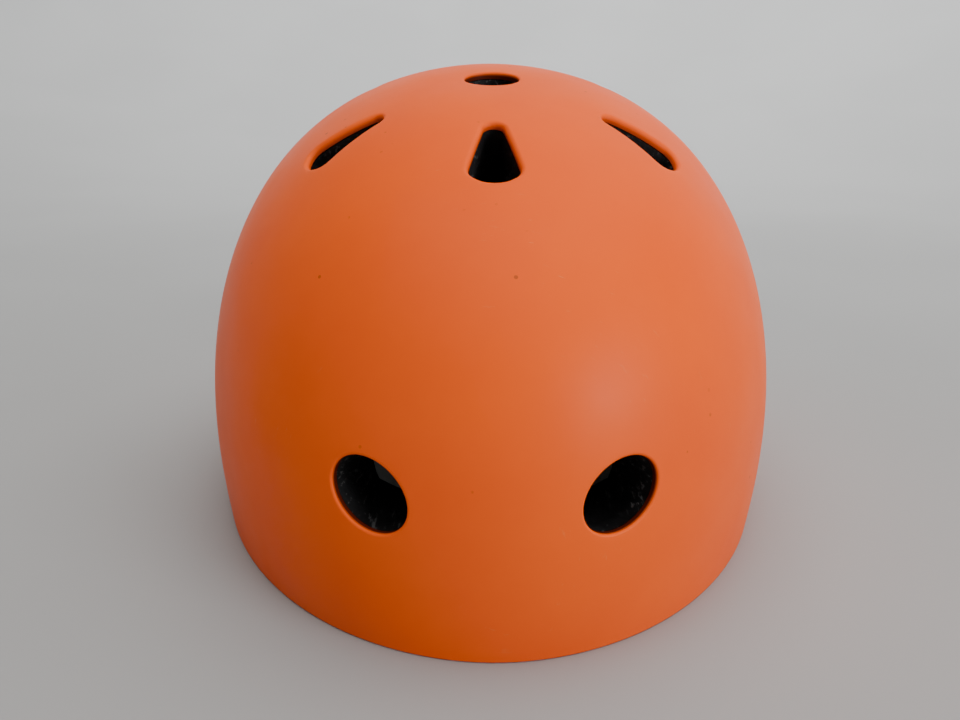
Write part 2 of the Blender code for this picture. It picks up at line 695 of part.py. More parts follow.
def build_buckle():
    """Female half on the left strap, male half with two sprung prongs on the right one."""
    middle = Vector((BUCKLE_MOUTH_X + FEMALE_LENGTH / 2, HARNESS_Y, BUCKLE_HEIGHT / 2 + 0.4 * MM))
    centre_z = middle.z
    total = FEMALE_LENGTH + LADDER_LENGTH
    female = box("buckle_female", (total, BUCKLE_WIDTH, BUCKLE_HEIGHT),
                 middle + Vector((LADDER_LENGTH / 2, 0, 0)), "black_plastic")
    bevel(female, 1.2 * MM)
    cavity_length = FEMALE_LENGTH - 5 * MM
    boolean(female, box("buckle_cavity", (cavity_length + 10 * MM, CAVITY_WIDTH, CAVITY_HEIGHT),
                        (BUCKLE_MOUTH_X + cavity_length / 2 - 5 * MM, HARNESS_Y, centre_z)))
    boolean(female, box("buckle_window", (WINDOW_LENGTH, BUCKLE_WIDTH + 4 * MM, CAVITY_HEIGHT),
                        (BUCKLE_MOUTH_X + 11 * MM, HARNESS_Y, centre_z)))
    ladder_x = BUCKLE_MOUTH_X + FEMALE_LENGTH
    for offset in (1.5, 6.7):
        boolean(female, box(f"ladder_slot_{offset}", (3.2 * MM, WEB_SLOT, 20 * MM),
                            (ladder_x + offset * MM, HARNESS_Y, centre_z)))

    male_x = BUCKLE_MOUTH_X - GAP - MALE_LENGTH / 2
    male = box("buckle_male", (MALE_LENGTH, BUCKLE_WIDTH, BUCKLE_HEIGHT),
               (male_x, HARNESS_Y, centre_z), "black_plastic")
    bevel(male, 1.2 * MM)
    tongue = box("male_tongue", (TONGUE_LENGTH, TONGUE_WIDTH, PRONG_HEIGHT),
                 (BUCKLE_MOUTH_X + 4 * MM, HARNESS_Y, centre_z))
    boolean(male, tongue, "UNION")
    boolean(male, box("male_slot", (4 * MM, WEB_SLOT, 20 * MM),
                      (male_x - 3 * MM, HARNESS_Y, centre_z)))
    boolean(male, box("male_prong_room", (6.4 * MM, 20 * MM, 4.6 * MM),
                      (BUCKLE_MOUTH_X - GAP - 1.2 * MM, HARNESS_Y, centre_z)))
    boolean(male, box("male_tongue_root", (9 * MM, TONGUE_WIDTH, PRONG_HEIGHT),
                      (BUCKLE_MOUTH_X - 2.5 * MM, HARNESS_Y, centre_z)), "UNION")
    for side_name, way in (("front", -1), ("rear", 1)):
        build_prong(side_name, way, centre_z)


def build_prong(name, way, centre_z):
    """A sprung prong of the male half, pivoting at its root, with a thumb pad in the side window."""
    root_x = BUCKLE_MOUTH_X - 2.6 * MM
    tip = PRONG_LENGTH / MM
    outline = [(0, -1.3), (tip - 2, -0.6), (tip, 0.6), (tip, 1.6),
               (tip - 1.8, 2.9), (tip - 6.8, 2.9), (tip - 8.4, 1.6), (0, 1.3)]
    points = [(x * MM, y * MM * way) for x, y in outline]
    prong = plate(f"buckle_prong_{name}", points, PRONG_HEIGHT, "black_plastic")
    prong.location = (root_x, HARNESS_Y + PRONG_ROOT_Y * way, centre_z)


def build_chin_straps():
    """The level webbing between dividers and buckle, with the free tail and its keeper."""
    across = Vector((0, WEB_WIDTH / 2, 0))
    left_start = Vector((56 * MM, HARNESS_Y, WEB_Z))
    bar_x = BUCKLE_MOUTH_X + FEMALE_LENGTH + LADDER_LENGTH
    left_end = Vector((bar_x + GAP, HARNESS_Y, WEB_Z))
    route = [left_start, (left_start + left_end) / 2, left_end]
    webbing("chin_strap_left", route, [across] * 3, WEB_WALL, "webbing")
    tail_low = WEB_Z + WEB_WALL + 0.5 * MM
    tail = [Vector((bar_x + run, HARNESS_Y, tail_low + rise))
            for run, rise in ((1 * MM, 0), (TAIL_LENGTH / 2, GAP), (TAIL_LENGTH, GAP))]
    webbing("strap_tail", tail, [across] * 3, WEB_WALL, "webbing")

    ring = box("tail_keeper", (5 * MM, WEB_WIDTH + 4 * MM, 6.4 * MM),
               (bar_x + 7 * MM, HARNESS_Y, WEB_Z + 1.2 * MM), "dial_rubber")
    bevel(ring, 0.8 * MM)
    boolean(ring, box("keeper_way", (9 * MM, WEB_WIDTH + 1.4 * MM, 4.4 * MM),
                      (bar_x + 7 * MM, HARNESS_Y, WEB_Z + 1.1 * MM)))

    right_start = Vector((-56 * MM, HARNESS_Y, WEB_Z))
    right_end = Vector((BUCKLE_MOUTH_X - GAP - MALE_LENGTH - GAP, HARNESS_Y, WEB_Z))
    route = [right_start.lerp(right_end, i / 6) for i in range(7)]
    webbing("chin_strap_right", route, [across] * 7, WEB_WALL, "webbing")


# ---------------------------------------------------------------- rear fit cradle

def band_route(side):
    """(points, half heights) of a headband half, from the side pivot round into the housing."""
    points = []
    halves = []
    count = 12
    end_x = HOUSING_WIDTH / 2 + 1 * MM
    last = acos(end_x / BAND_SIDE_X)
    reach = (CRADLE_Y - BAND_PIVOT_Y) / sin(last)
    for i in range(count + 1):
        a = last * i / count
        points.append(Vector((side * BAND_SIDE_X * cos(a), BAND_PIVOT_Y + reach * sin(a), CRADLE_Z)))
        halves.append(Vector((0, 0, BAND_HEIGHT / 2)))
    rack_z = CRADLE_Z + side * (PINION_RADIUS + GAP + RACK_HEIGHT / 2)
    for x in (0.55, 0.35, -0.6):
        points.append(Vector((side * HOUSING_WIDTH / 2 * x, CRADLE_Y, rack_z)))
        halves.append(Vector((0, 0, RACK_HEIGHT / 2)))
    return points, halves


def build_band(side_name, pivot):
    """One half of the headband, with an eyelet for its side pivot."""
    side = SIDES[side_name]
    points, halves = band_route(side)
    band = webbing(f"headband_{side_name}", points, halves, BAND_WALL, "black_plastic")
    eye_centre = (side * BAND_SIDE_X, BAND_PIVOT_Y - EYE_OFFSET, CRADLE_Z)
    eyelet = rod(f"eyelet_{side_name}", BAND_HEIGHT / 2 - 0.05 * MM, BAND_WALL + 0.2 * MM, eye_centre,
                 (1, 0, 0), None, 20)
    boolean(band, eyelet, "UNION")
    boolean(band, rod(f"eye_way_{side_name}", 3 * MM, 8 * MM, eye_centre, (1, 0, 0), None, 16))
    hang(band, pivot)
    stud_profile = [(0, 6.5 * MM), (4.4 * MM, 6.5 * MM), (4.4 * MM, 1.6 * MM), (2.6 * MM, 1.6 * MM),
                    (2.6 * MM, -1.3 * MM), (4.2 * MM, -1.3 * MM), (3.4 * MM, -2.6 * MM), (0, -2.6 * MM)]
    turned(f"pivot_stud_{side_name}", stud_profile, eye_centre, (side, 0, 0), "black_plastic", 20)


def build_cradle(pivot):
    """Housing with its nape pad, dial knob, ratchet ring, pinion and centre screw."""
    slide = joint_empty("cradle_slide_axis", (0, CRADLE_Y, CRADLE_Z), pivot)
    housing = box("dial_housing", (HOUSING_WIDTH, HOUSING_DEPTH, HOUSING_HEIGHT),
                  (0, CRADLE_Y + 0.5 * MM, CRADLE_Z), "black_plastic")
    bevel(housing, 2 * MM)
    boolean(housing, box("rack_way", (HOUSING_WIDTH * 1.2, BAND_WALL + 3 * MM, 21 * MM),
                         (0, CRADLE_Y, CRADLE_Z)))
    back = CRADLE_Y + 0.5 * MM + HOUSING_DEPTH / 2
    boolean(housing, rod("shaft_way", 2.6 * MM, 8 * MM, (0, back, CRADLE_Z), (0, 1, 0), None, 16))

    facing = (Vector((1, 0, 0)), Vector((0, 0, 1)), Vector((0, -1, 0)))
    front = CRADLE_Y + 0.5 * MM - HOUSING_DEPTH / 2
    yoke_y = front - GAP - YOKE_SIZE[2] / 2
    yoke_outline = rounded_box_outline(*YOKE_SIZE[:2], 10 * MM, 4)
    yoke = plate("cradle_yoke", yoke_outline, YOKE_SIZE[2], "black_plastic")
    place(yoke, (Vector((0, yoke_y, CRADLE_Z)), *facing))
    for side_name, side in SIDES.items():
        outline = rounded_box_outline(*YOKE_SLOT[:2], 3 * MM)
        slot = plate(f"yoke_slot_{side_name}", outline, 10 * MM)
        place(slot, (Vector((YOKE_SLOT[2] * side, yoke_y, CRADLE_Z)), *facing))
        boolean(yoke, slot)
    pad_y = yoke_y - (YOKE_SIZE[2] + NAPE_PAD_SIZE[2]) / 2 - GAP
    pad_outline = rounded_box_outline(*NAPE_PAD_SIZE[:2], 9 * MM, 4)
    pad = plate("cradle_pad", pad_outline, NAPE_PAD_SIZE[2], "pad_fabric")
    place(pad, (Vector((0, pad_y, CRADLE_Z)), *facing))

    for moving in (housing, yoke, pad, build_ratchet_ring(back)):
        hang(moving, slide)
    dial = joint_empty("dial_axis", (0, back, CRADLE_Z))
    for moving in build_dial(back):
        hang(moving, dial)
    hang(dial, slide)


def build_ratchet_ring(back):
    """The toothless detent ring between housing and knob."""
    ring_profile = [(RATCHET_BORE, RATCHET_WALL), (RATCHET_RADIUS, RATCHET_WALL), (RATCHET_RADIUS, 0),
                    (RATCHET_BORE, 0), (RATCHET_BORE, RATCHET_WALL)]
    return turned("ratchet_ring", ring_profile, (0, back + GAP, CRADLE_Z), (0, 1, 0), "black_plastic", 24)


def build_dial(back):
    """The knob, its pinion and its centre screw, on an axis along Y behind the housing."""
    knob_start = back + 2 * GAP
    lobes = []
    for i in range(6 * KNOB_LOBES):
        a = 2 * pi * i / (6 * KNOB_LOBES)
        radius = KNOB_RADIUS - KNOB_LOBE_DEPTH * (1 + cos(KNOB_LOBES * a))
        lobes.append((radius * cos(a), radius * sin(a)))
    knob = plate("dial_knob", lobes, KNOB_DEPTH, "dial_rubber")
    frame_axes = (Vector((1, 0, 0)), Vector((0, 0, -1)), Vector((0, 1, 0)))
    place(knob, (Vector((0, knob_start + KNOB_DEPTH / 2, CRADLE_Z)), *frame_axes))
    recess_radius = RATCHET_RADIUS + 0.4 * MM
    boolean(knob, rod("ring_recess", recess_radius, 5 * MM, (0, knob_start - GAP, CRADLE_Z), (0, 1, 0)))
    boolean(knob, rod("knob_bore", 1.5 * MM, 30 * MM, (0, knob_start, CRADLE_Z), (0, 1, 0), None, 16))
    knob_end = knob_start + KNOB_DEPTH
    boolean(knob, rod("screw_recess", 3.6 * MM, 4 * MM, (0, knob_end, CRADLE_Z), (0, 1, 0), None, 20))

    top = knob_start + 1.9 * MM
    bottom = CRADLE_Y - 1.6 * MM
    pinion_end = BAND_WALL + 1.8 * MM
    pinion_profile = [(0, top - bottom), (PINION_SHAFT, top - bottom), (PINION_SHAFT, pinion_end),
                      (PINION_RADIUS, pinion_end), (PINION_RADIUS, 0), (0, 0)]
    pinion = turned("drive_pinion", pinion_profile, (0, bottom, CRADLE_Z), (0, 1, 0), "black_plastic", 20)
    boolean(pinion, rod("pinion_bore", 1.5 * MM, 8 * MM, (0, top, CRADLE_Z), (0, 1, 0), None, 16))
    screw_profile = [(0, 1.4 * MM), (2.4 * MM, 1.4 * MM), (3.2 * MM, 0), (1.2 * MM, 0), (1.2 * MM, -7.6 * MM),
                     (0, -7.6 * MM)]
    screw_point = (0, knob_end - 2 * MM + GAP, CRADLE_Z)
    screw = turned("dial_screw", screw_profile, screw_point, (0, 1, 0), "steel", 16)
    return knob, pinion, screw


# ---------------------------------------------------------------- the assembly

build_shell()
foam = build_liner()
build_pads()
headband_pivot = joint_empty("headband_pivot_axis", (0, BAND_PIVOT_Y - EYE_OFFSET, CRADLE_Z))
for strap_side in SIDES:
    for strap_end in ENDS:
        build_anchor(strap_end, strap_side, foam)
        build_side_strap(strap_end, strap_side)
    build_divider(strap_side)
    build_band(strap_side, headband_pivot)
build_buckle()
build_chin_straps()
build_cradle(headband_pivot)
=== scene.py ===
"""Looks of the water helmet: moulded shell, foam liner, sewn pads, webbing and fittings.

Metres, +Z up, the brow faces -Y and the wearer's left is +X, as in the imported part.
"""
import json
from collections import namedtuple
from math import acos, atan, cos, pi, radians, sin

import bmesh
import bpy
import numpy as np
from mathutils import Matrix, Vector
from mathutils.geometry import delaunay_2d_cdt, interpolate_bezier
from mathutils.kdtree import KDTree

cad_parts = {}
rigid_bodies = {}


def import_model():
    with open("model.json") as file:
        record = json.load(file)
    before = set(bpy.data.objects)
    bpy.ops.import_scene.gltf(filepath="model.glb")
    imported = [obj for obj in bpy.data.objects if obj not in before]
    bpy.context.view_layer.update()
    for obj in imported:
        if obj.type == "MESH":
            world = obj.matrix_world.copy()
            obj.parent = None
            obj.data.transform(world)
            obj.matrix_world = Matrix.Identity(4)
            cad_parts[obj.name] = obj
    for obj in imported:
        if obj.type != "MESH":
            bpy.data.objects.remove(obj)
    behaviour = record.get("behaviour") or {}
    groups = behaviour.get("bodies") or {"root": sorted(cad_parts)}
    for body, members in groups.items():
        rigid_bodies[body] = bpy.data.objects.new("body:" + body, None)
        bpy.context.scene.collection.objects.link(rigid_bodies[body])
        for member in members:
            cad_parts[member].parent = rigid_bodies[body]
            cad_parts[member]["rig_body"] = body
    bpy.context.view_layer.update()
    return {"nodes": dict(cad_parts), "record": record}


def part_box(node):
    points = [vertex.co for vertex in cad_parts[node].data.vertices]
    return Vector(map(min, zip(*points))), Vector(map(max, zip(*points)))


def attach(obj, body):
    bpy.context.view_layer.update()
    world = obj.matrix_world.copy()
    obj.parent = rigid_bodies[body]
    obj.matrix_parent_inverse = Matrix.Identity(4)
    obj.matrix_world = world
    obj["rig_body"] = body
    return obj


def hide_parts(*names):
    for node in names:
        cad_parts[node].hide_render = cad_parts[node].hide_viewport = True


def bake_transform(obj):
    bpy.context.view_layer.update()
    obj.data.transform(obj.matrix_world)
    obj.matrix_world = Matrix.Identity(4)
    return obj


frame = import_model()
MM = 0.001

# The dome's driving sizes, as in the part
HALF_WIDTH = 101.8 * MM
FRONT_REACH = 133.8 * MM
REAR_REACH = 121.9 * MM
DOME_HEIGHT = 126.2 * MM
LEAN = 0.2425
EQUATOR_HEIGHT = 22.26 * MM
PLAN_POWER_FRONT = 1.95
PLAN_POWER_REAR = 1.906
DOME_POWER = 2.344
SIDE_TUCK = 3.1
REAR_TUCK = 48.0
SKIRT_LENGTH = 90 * MM

SHELL_WALL = 2.2 * MM
LINER_DEPTH = SHELL_WALL + 0.3 * MM
LINER_BACK = 19.7 * MM  # depth of the liner's inner face
LINER_BOTTOM = 7.0 * MM

# The vents, as in the part, but the low ovals leave room for their rounded lips
CROWN_VENT_RADIUS = 8.8 * MM
PETAL_AZIMUTHS = (0, 56.5, 118, 180, -118, -56.5)
PETAL_RING_RADIUS = 53.7 * MM
PETAL_LENGTH = 26.8 * MM
PETAL_WIDTH = 14.0 * MM
PETAL_TIP_RADIUS = 3.1 * MM
PETAL_CORNER_RADIUS = 4.4 * MM
PETAL_CORNER_RISE = 5.5 * MM  # how far the corners' centres are above the broad end
PETAL_ARC_RADIUS = 8.6 * MM
PETAL_LIP_RADIUS = 1.5 * MM
PETAL_PAINTED_SHADE = 0.30  # share of the painted shade that the other vents' walls have
OVAL_HALF_LENGTH = 11.4 * MM
OVAL_HALF_HEIGHT = 8.9 * MM
OVAL_ROLL = radians(25.4)
OVAL_SIDE_ANGLE = radians(19.75)
OVAL_CLIMB = {"front": radians(21.6), "rear": radians(3)}
ROUND_LIP_RADIUS = 0.8 * MM  # of the crown vent and the ovals

# Finer shape than the part has
RIM_RADIUS = 0.7 * MM
SHELL_FOOT_RADIUS = 0.4 * MM  # of the rim's inner corner
LINER_RIM_RADIUS = 1.5 * MM
LINER_FOOT_RADIUS = 3.0 * MM
FOAM_GROWTH = 0.15 * MM  # how far the foam's faces stop outside the vents' outlines
FOAM_SWELL = 0.5 * MM  # how far its cut walls stand in from there
SHELL_SPACING = 2.6 * MM
FOAM_SPACING = 4.0 * MM
FLANK_SPACING = 1.2 * MM
GUARD_STEPS = (1.1 * MM, 2.6 * MM)  # rings of points round a vent
CLEARING = 3.9 * MM  # no other points nearer to a vent
QUARTER = [pi / 12 * k for k in range(7)]

# The inside, as in the part
PAD_DEPTH = 21.9 * MM  # depth of the pads' backs
HOOK_DEPTH = 20.7 * MM
PAD_WALL = 6.0 * MM
PADS = {
    "pad_front": ((-122, -58), (7.5, 16.5), (54, 14), (-0.34, 0.34)),
    "pad_rear": ((62, 118), (5, 17), (46, 16), (-0.34, 0.34)),
    "pad_left": ((-9, 9), (0, 15), (24, 24), (0.0,)),
    "pad_right": ((171, 189), (0, 15), (24, 24), (0.0,)),
    "pad_crown": ((-180, 180), (74, 85), (120, 14), ()),
}
WEB_WIDTH = 15 * MM
WEB_WALL = 1.4 * MM
WEB_Z = 4.2 * MM
HARNESS_Y = 9 * MM
ANCHOR_HEIGHT = 20 * MM
PLATE_DEPTH = HOOK_DEPTH + 3.2 * MM
ANCHOR_Z = 42 * MM
ANCHOR_ANGLES = {"front": radians(-22), "rear": radians(23)}
STRAP_HOLD = 2 * MM
STRAP_DROP = 20 * MM
STRAP_LEAD = 26 * MM
DIVIDER_X = 62.5 * MM
DIVIDER_REACH = 9.5 * MM  # from the harness line to where a side strap enters
BAND_PIVOT = (61 * MM, 60 * MM, 24 * MM)
BAND_END = (23 * MM, 86 * MM)
BAND_WALL = 1.6 * MM
BAND_HEIGHT = 15 * MM
EYE_OFFSET = 4 * MM  # from the pivot to the eyelets
RACK_HEIGHT = 5.2 * MM
RACK_OFFSET = 6.7 * MM  # the racks' middles above and below the pinion's axis
RACK_ENDS = (12.1 * MM, 7.7 * MM, -13.2 * MM)
SIDES = {"left": 1, "right": -1}

# Sewing, which the part doesn't have
PAD_SHARE = 0.72  # of the wall, before the pad is blown up
CRADLE_PAD_SHARE = 0.6
CRADLE_PAD_GRID = (38, 18)
BACK_SHARE = 0.35  # of a pad's wall behind its edge
CHANNEL_PULL = 0.55  # share of a pad's wall that a sewn channel takes away
CHANNEL_HALF = 1.5 * MM
SIDE_PULL, END_PULL = 0.10, 0.22  # how far a pad's outline pulls in at its corners
SWELL_CAP = 1.3 * MM
SWELL_FRAMES = 20
STITCH_INSET = 2  # grid steps from a pad's edge to its stitching
BINDING_RADIUS = 0.75 * MM
PAD_STITCH = 1.9 * MM
STRAP_STITCH = 2.0 * MM

# The studio
FLOOR_REACH = 0.9
SWEEP_RADIUS = 1.7
BACKDROP_HEIGHT = 2.6


# ---------------- camera and light

def aim(item, point, forward, right=None):
    """Put a camera or light at a point, looking along forward."""
    forward = forward.normalized()
    right = right or forward.cross(Vector((0, 0, 1)))
    right = (right - forward * right.dot(forward)).normalized()
    up = right.cross(forward)
    item.matrix_world = Matrix.Translation(point) @ Matrix((right, up, -forward)).transposed().to_4x4()


def build_camera():
    """The camera, level but for a slight roll, looking down at the brow."""
    data = bpy.data.cameras.new("camera")
    data.sensor_width = 36
    data.lens = 28.85
    data.clip_start = 0.01
    camera = bpy.data.objects.new("camera", data)
    bpy.context.scene.collection.objects.link(camera)
    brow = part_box("outer_shell")[0].y
    aim(camera, Vector((-4.13 * MM, brow - 159.5 * MM, 137.85 * MM)),
        Vector((0.0020, 0.94725, -0.32048)), Vector((0.99999, -0.00289, 0.0025)))
    bpy.context.scene.camera = camera


def area_light(name, point, target, size, power, colour):
    """A soft rectangular light.  Gives back its object."""
    data = bpy.data.lights.new(name, "AREA")
    data.shape = "RECTANGLE"
    data.size, data.size_y = size
    data.energy = power
    data.color = colour
    item = bpy.data.objects.new(name, data)
    bpy.context.scene.collection.objects.link(item)
    aim(item, Vector(point), Vector(target) - Vector(point))
    return item


def build_light():
    """A wide box overhead that makes no sheen, a low window, a light on the backdrop, a weak surrounding."""
    middle = (0, 0, 0.06)
    overhead = area_light("overhead", (0.25, -0.15, 1.75), middle, (2.6, 2.2), 50, (1.0, 0.985, 0.97))
    overhead.visible_glossy = False
    area_light("window", (0.98, -0.82, 0.38), middle, (0.55, 0.5), 8.7, (0.97, 0.98, 1.0))
    area_light("backdrop", (0.3, 0.90, 1.70), (0.3, 2.6, 0.6), (2.4, 0.6), 75, (0.96, 0.98, 1.0))
    world = bpy.data.worlds.new("studio")
    bpy.context.scene.world = world
    world.use_nodes = True
    background = world.node_tree.nodes["Background"]
    background.inputs["Color"].default_value = (0.92, 0.95, 1.0, 1)
    background.inputs["Strength"].default_value = 0.07


# ---------------- material helpers

class Nodes:
    """A small helper to write a material's node tree."""

    def __init__(self, name):
        self.material = bpy.data.materials.new(name)
        self.material.use_nodes = True
        self.tree = self.material.node_tree
        self.shader = self.tree.nodes["Principled BSDF"]

    def feed(self, node, name, value):
        """Set or link one input."""
        socket = node.inputs[name]
        if isinstance(value, bpy.types.NodeSocket):
            self.tree.links.new(value, socket)
        else:
            socket.default_value = value

    def output(self, kind, output, settings=None, **inputs):
        """An output of a new node; the name of an input has _ for each space."""
        node = self.tree.nodes.new("ShaderNode" + kind)
        for key, value in (settings or {}).items():
            setattr(node, key, value)
        for key, value in inputs.items():
            self.feed(node, key.replace("_", " "), value)
        return node.outputs[output]

    def math(self, operation, a, b=0.0):
        """The output of a Math node."""
        node = self.tree.nodes.new("ShaderNodeMath")
        node.operation = operation
        self.feed(node, 0, a)
        self.feed(node, 1, b)
        return node.outputs[0]

    def times(self, a, b):
        """A product."""
        return self.math("MULTIPLY", a, b)

    def place(self):
        """Object coordinates."""
        return self.output("TexCoord", "Object")

    def stretched(self, vector, scale, turn=(0, 0, 0)):
        """Coordinates scaled and turned."""
        return self.output("Mapping", "Vector", Vector=vector, Scale=scale, Rotation=turn)

    def stored(self, name, output="Fac"):
        """A value or vector kept on the mesh."""
        return self.output("Attribute", output, {"attribute_name": name})

    def noise(self, vector, scale, detail=2.0, roughness=0.5):
        """Noise from 0 to 1."""
        return self.output("TexNoise", "Fac", Vector=vector, Scale=scale, Detail=detail, Roughness=roughness)

    def cells(self, vector, scale):
        """Distance to the nearest of scattered points."""
        return self.output("TexVoronoi", "Distance", Vector=vector, Scale=scale)

    def between(self, value, low, high, out_low=0.0, out_high=1.0):
        """Map a range to another, clamped."""
        return self.output("MapRange", "Result", Value=value, From_Min=low, From_Max=high,
                           To_Min=out_low, To_Max=out_high)

    def colours(self, factor, *stops):
        """A colour ramp; each stop is (position, (r, g, b))."""
        node = self.tree.nodes.new("ShaderNodeValToRGB")
        self.feed(node, "Fac", factor)
        ramp = node.color_ramp
        while len(ramp.elements) < len(stops):
            ramp.elements.new(1.0)
        for element, (position, colour) in zip(ramp.elements, stops):
            element.position = position
            element.color = (*colour, 1)
        return node.outputs["Color"]

    def mix(self, factor, a, b):
        """A mix of two colours."""
        node = self.tree.nodes.new("ShaderNodeMix")
        node.data_type = "RGBA"
        self.feed(node, 0, factor)
        self.feed(node, 6, (*a, 1) if isinstance(a, tuple) else a)
        self.feed(node, 7, (*b, 1) if isinstance(b, tuple) else b)
        return node.outputs[2]

    def bump(self, height, distance, strength=1.0, **under):
        """A normal bumped by a height, over another Normal if one is given."""
        return self.output("Bump", "Normal", Height=height, Distance=distance, Strength=strength, **under)

    def done(self, **inputs):
        """Feed the shader and give back the material."""
        names = {"colour": "Base Color", "roughness": "Roughness", "normal": "Normal",
                 "metallic": "Metallic", "specular": "Specular IOR Level", "sheen": "Sheen Weight",
                 "sheen_roughness": "Sheen Roughness", "sheen_tint": "Sheen Tint"}
        for key, value in inputs.items():
            self.feed(self.shader, names[key], value)
        return self.material


# ---------------- materials

def shell_material():
    """Orange moulded plastic: fine grain, faint mottling, light scuffs, a few specks of dirt, and painted
    shade on the vents' walls.
    """
    n = Nodes("shell_orange_moulded")
    here = n.place()
    mottle = n.noise(here, 22, 4, 0.55)
    colour = n.colours(mottle, (0.3, (0.91, 0.099, 0.003)), (0.5, (0.94, 0.107, 0.003)),
                       (0.7, (0.97, 0.115, 0.003)))
    speck_spots = n.cells(here, 160)
    speck_where = n.noise(here, 60, 2)
    specks = n.times(n.between(speck_spots, 0.10, 0.07), n.between(speck_where, 0.60, 0.66))
    colour = n.mix(n.times(specks, 0.55), colour, (0.16, 0.055, 0.02))
    scuff_lines = n.noise(n.stretched(here, (30, 260, 40), (0.3, 0.2, 0.5)), 6, 3, 0.6)
    scuff_where = n.noise(here, 14, 2)
    scuffs = n.times(n.between(scuff_lines, 0.66, 0.74), n.between(scuff_where, 0.52, 0.66))
    colour = n.mix(n.times(scuffs, 0.30), colour, (0.86, 0.42, 0.22))
    # Painted shade: the vents' walls darken to near black towards the inner face, less in the petals.
    colour = n.mix(n.between(n.stored("grime"), 0.15, 0.55, 0.0, 0.95), colour, (0.05, 0.004, 0.001))
    roughness = n.between(n.noise(here, 35, 3), 0.3, 0.7, 0.40, 0.50)
    roughness = n.math("ADD", roughness, n.times(scuffs, 0.12))
    grain = n.noise(here, 2600, 2, 0.5)
    waves = n.noise(here, 55, 2, 0.4)
    normal = n.bump(grain, 0.00004, 0.5)
    normal = n.bump(waves, 0.0004, 0.10, Normal=normal)
    return n.done(colour=colour, roughness=roughness, normal=normal, specular=0.16)


def foam_material():
    """Black closed-cell foam: small open cells on the cut faces, grey dust and rubbed patches."""
    n = Nodes("liner_foam_cells")
    here = n.place()
    cells = n.cells(here, 900)
    patches = n.noise(here, 40, 3)
    colour = n.colours(n.noise(here, 120, 4, 0.6), (0.35, (0.003, 0.003, 0.0033)),
                       (0.65, (0.008, 0.008, 0.0085)))
    dust_spots = n.between(n.cells(here, 420), 0.16, 0.10)
    dust = n.times(dust_spots, n.between(patches, 0.55, 0.70))
    colour = n.mix(n.times(dust, 0.8), colour, (0.16, 0.16, 0.16))
    lines = n.noise(n.stretched(here, (900, 160, 700), (0.5, 0.9, 0.3)), 1.0, 3, 0.7)
    scratches = n.times(n.between(lines, 0.57, 0.65), n.between(patches, 0.38, 0.55, 0.0, 0.8))
    colour = n.mix(scratches, colour, (0.10, 0.10, 0.10))
    roughness = n.between(n.noise(here, 200, 2), 0.3, 0.7, 0.62, 0.82)
    normal = n.bump(cells, 0.00025, 0.5)
    normal = n.bump(patches, 0.0008, 0.25, Normal=normal)
    return n.done(colour=colour, roughness=roughness, normal=normal, specular=0.35)


def pad_material():
    """Charcoal brushed knit: fine loops, soft sheen, faint lint and rubbed patches."""
    n = Nodes("pad_brushed_knit")
    here = n.place()
    patches = n.noise(here, 70, 3)
    loops = n.cells(here, 1500)
    colour = n.colours(patches, (0.35, (0.020, 0.021, 0.024)), (0.65, (0.036, 0.037, 0.042)))
    colour = n.mix(n.between(loops, 0.25, 0.6, 0.0, 0.5), colour, (0.012, 0.012, 0.014))
    lint = n.times(n.between(n.cells(here, 260), 0.08, 0.05), n.between(patches, 0.5, 0.7))
    colour = n.mix(n.times(lint, 0.5), colour, (0.16, 0.16, 0.17))
    roughness = n.between(patches, 0.3, 0.7, 0.82, 0.95)
    normal = n.bump(loops, 0.0002, 0.6)
    normal = n.bump(n.noise(here, 420, 3, 0.6), 0.0003, 0.4, Normal=normal)
    return n.done(colour=colour, roughness=roughness, normal=normal, specular=0.2, sheen=0.35,
                  sheen_roughness=0.5, sheen_tint=(0.75, 0.78, 0.85, 1))


def binding_material():
    """Black satin binding tape with a fine cross rib."""
    n = Nodes("pad_binding_satin")
    here = n.place()
    rib = n.noise(n.stretched(here, (900, 900, 2600)), 1.0, 2)
    colour = n.colours(rib, (0.35, (0.008, 0.008, 0.009)), (0.65, (0.020, 0.020, 0.022)))
    return n.done(colour=colour, roughness=n.between(rib, 0.3, 0.7, 0.5, 0.65),
                  normal=n.bump(rib, 0.0001, 0.5), specular=0.35, sheen=0.2, sheen_roughness=0.4)


def webbing_material():
    """Black woven webbing: ribs along the strap, a weft that passes over and under, light fuzz, and painted
    shade in the weave's low parts.
    """
    n = Nodes("webbing_woven")
    weave = n.stored("weave", "Vector")
    across = n.math("DIVIDE", n.output("SeparateXYZ", "X", Vector=weave), 1.15 * MM)
    rib = n.math("ABSOLUTE", n.math("SINE", n.times(across, pi)))
    offset = n.times(n.math("MODULO", n.math("FLOOR", n.math("ADD", across, 100.0)), 2.0), 0.5)
    along = n.math("ADD", n.math("DIVIDE", n.output("SeparateXYZ", "Y", Vector=weave), 2.1 * MM), offset)
    pick = n.math("ABSOLUTE", n.math("SINE", n.times(along, pi)))
    height = n.times(n.math("POWER", rib, 0.6), n.math("ADD", n.times(pick, 0.6), 0.4))
    here = n.place()
    fuzz = n.noise(here, 900, 3, 0.7)
    # Painted shade: the colour follows the weave's height, near black in its low parts and lighter on the
    # raised yarn.
    colour = n.colours(height, (0.0, (0.003, 0.003, 0.0035)), (0.5, (0.014, 0.014, 0.016)),
                       (1.0, (0.030, 0.030, 0.033)))
    colour = n.mix(n.between(fuzz, 0.60, 0.75, 0.0, 0.25), colour, (0.08, 0.08, 0.085))
    roughness = n.between(fuzz, 0.3, 0.7, 0.68, 0.86)
    normal = n.bump(height, 0.00028, 0.8)
    normal = n.bump(fuzz, 0.0001, 0.4, Normal=normal)
    return n.done(colour=colour, roughness=roughness, normal=normal, specular=0.3, sheen=0.15)


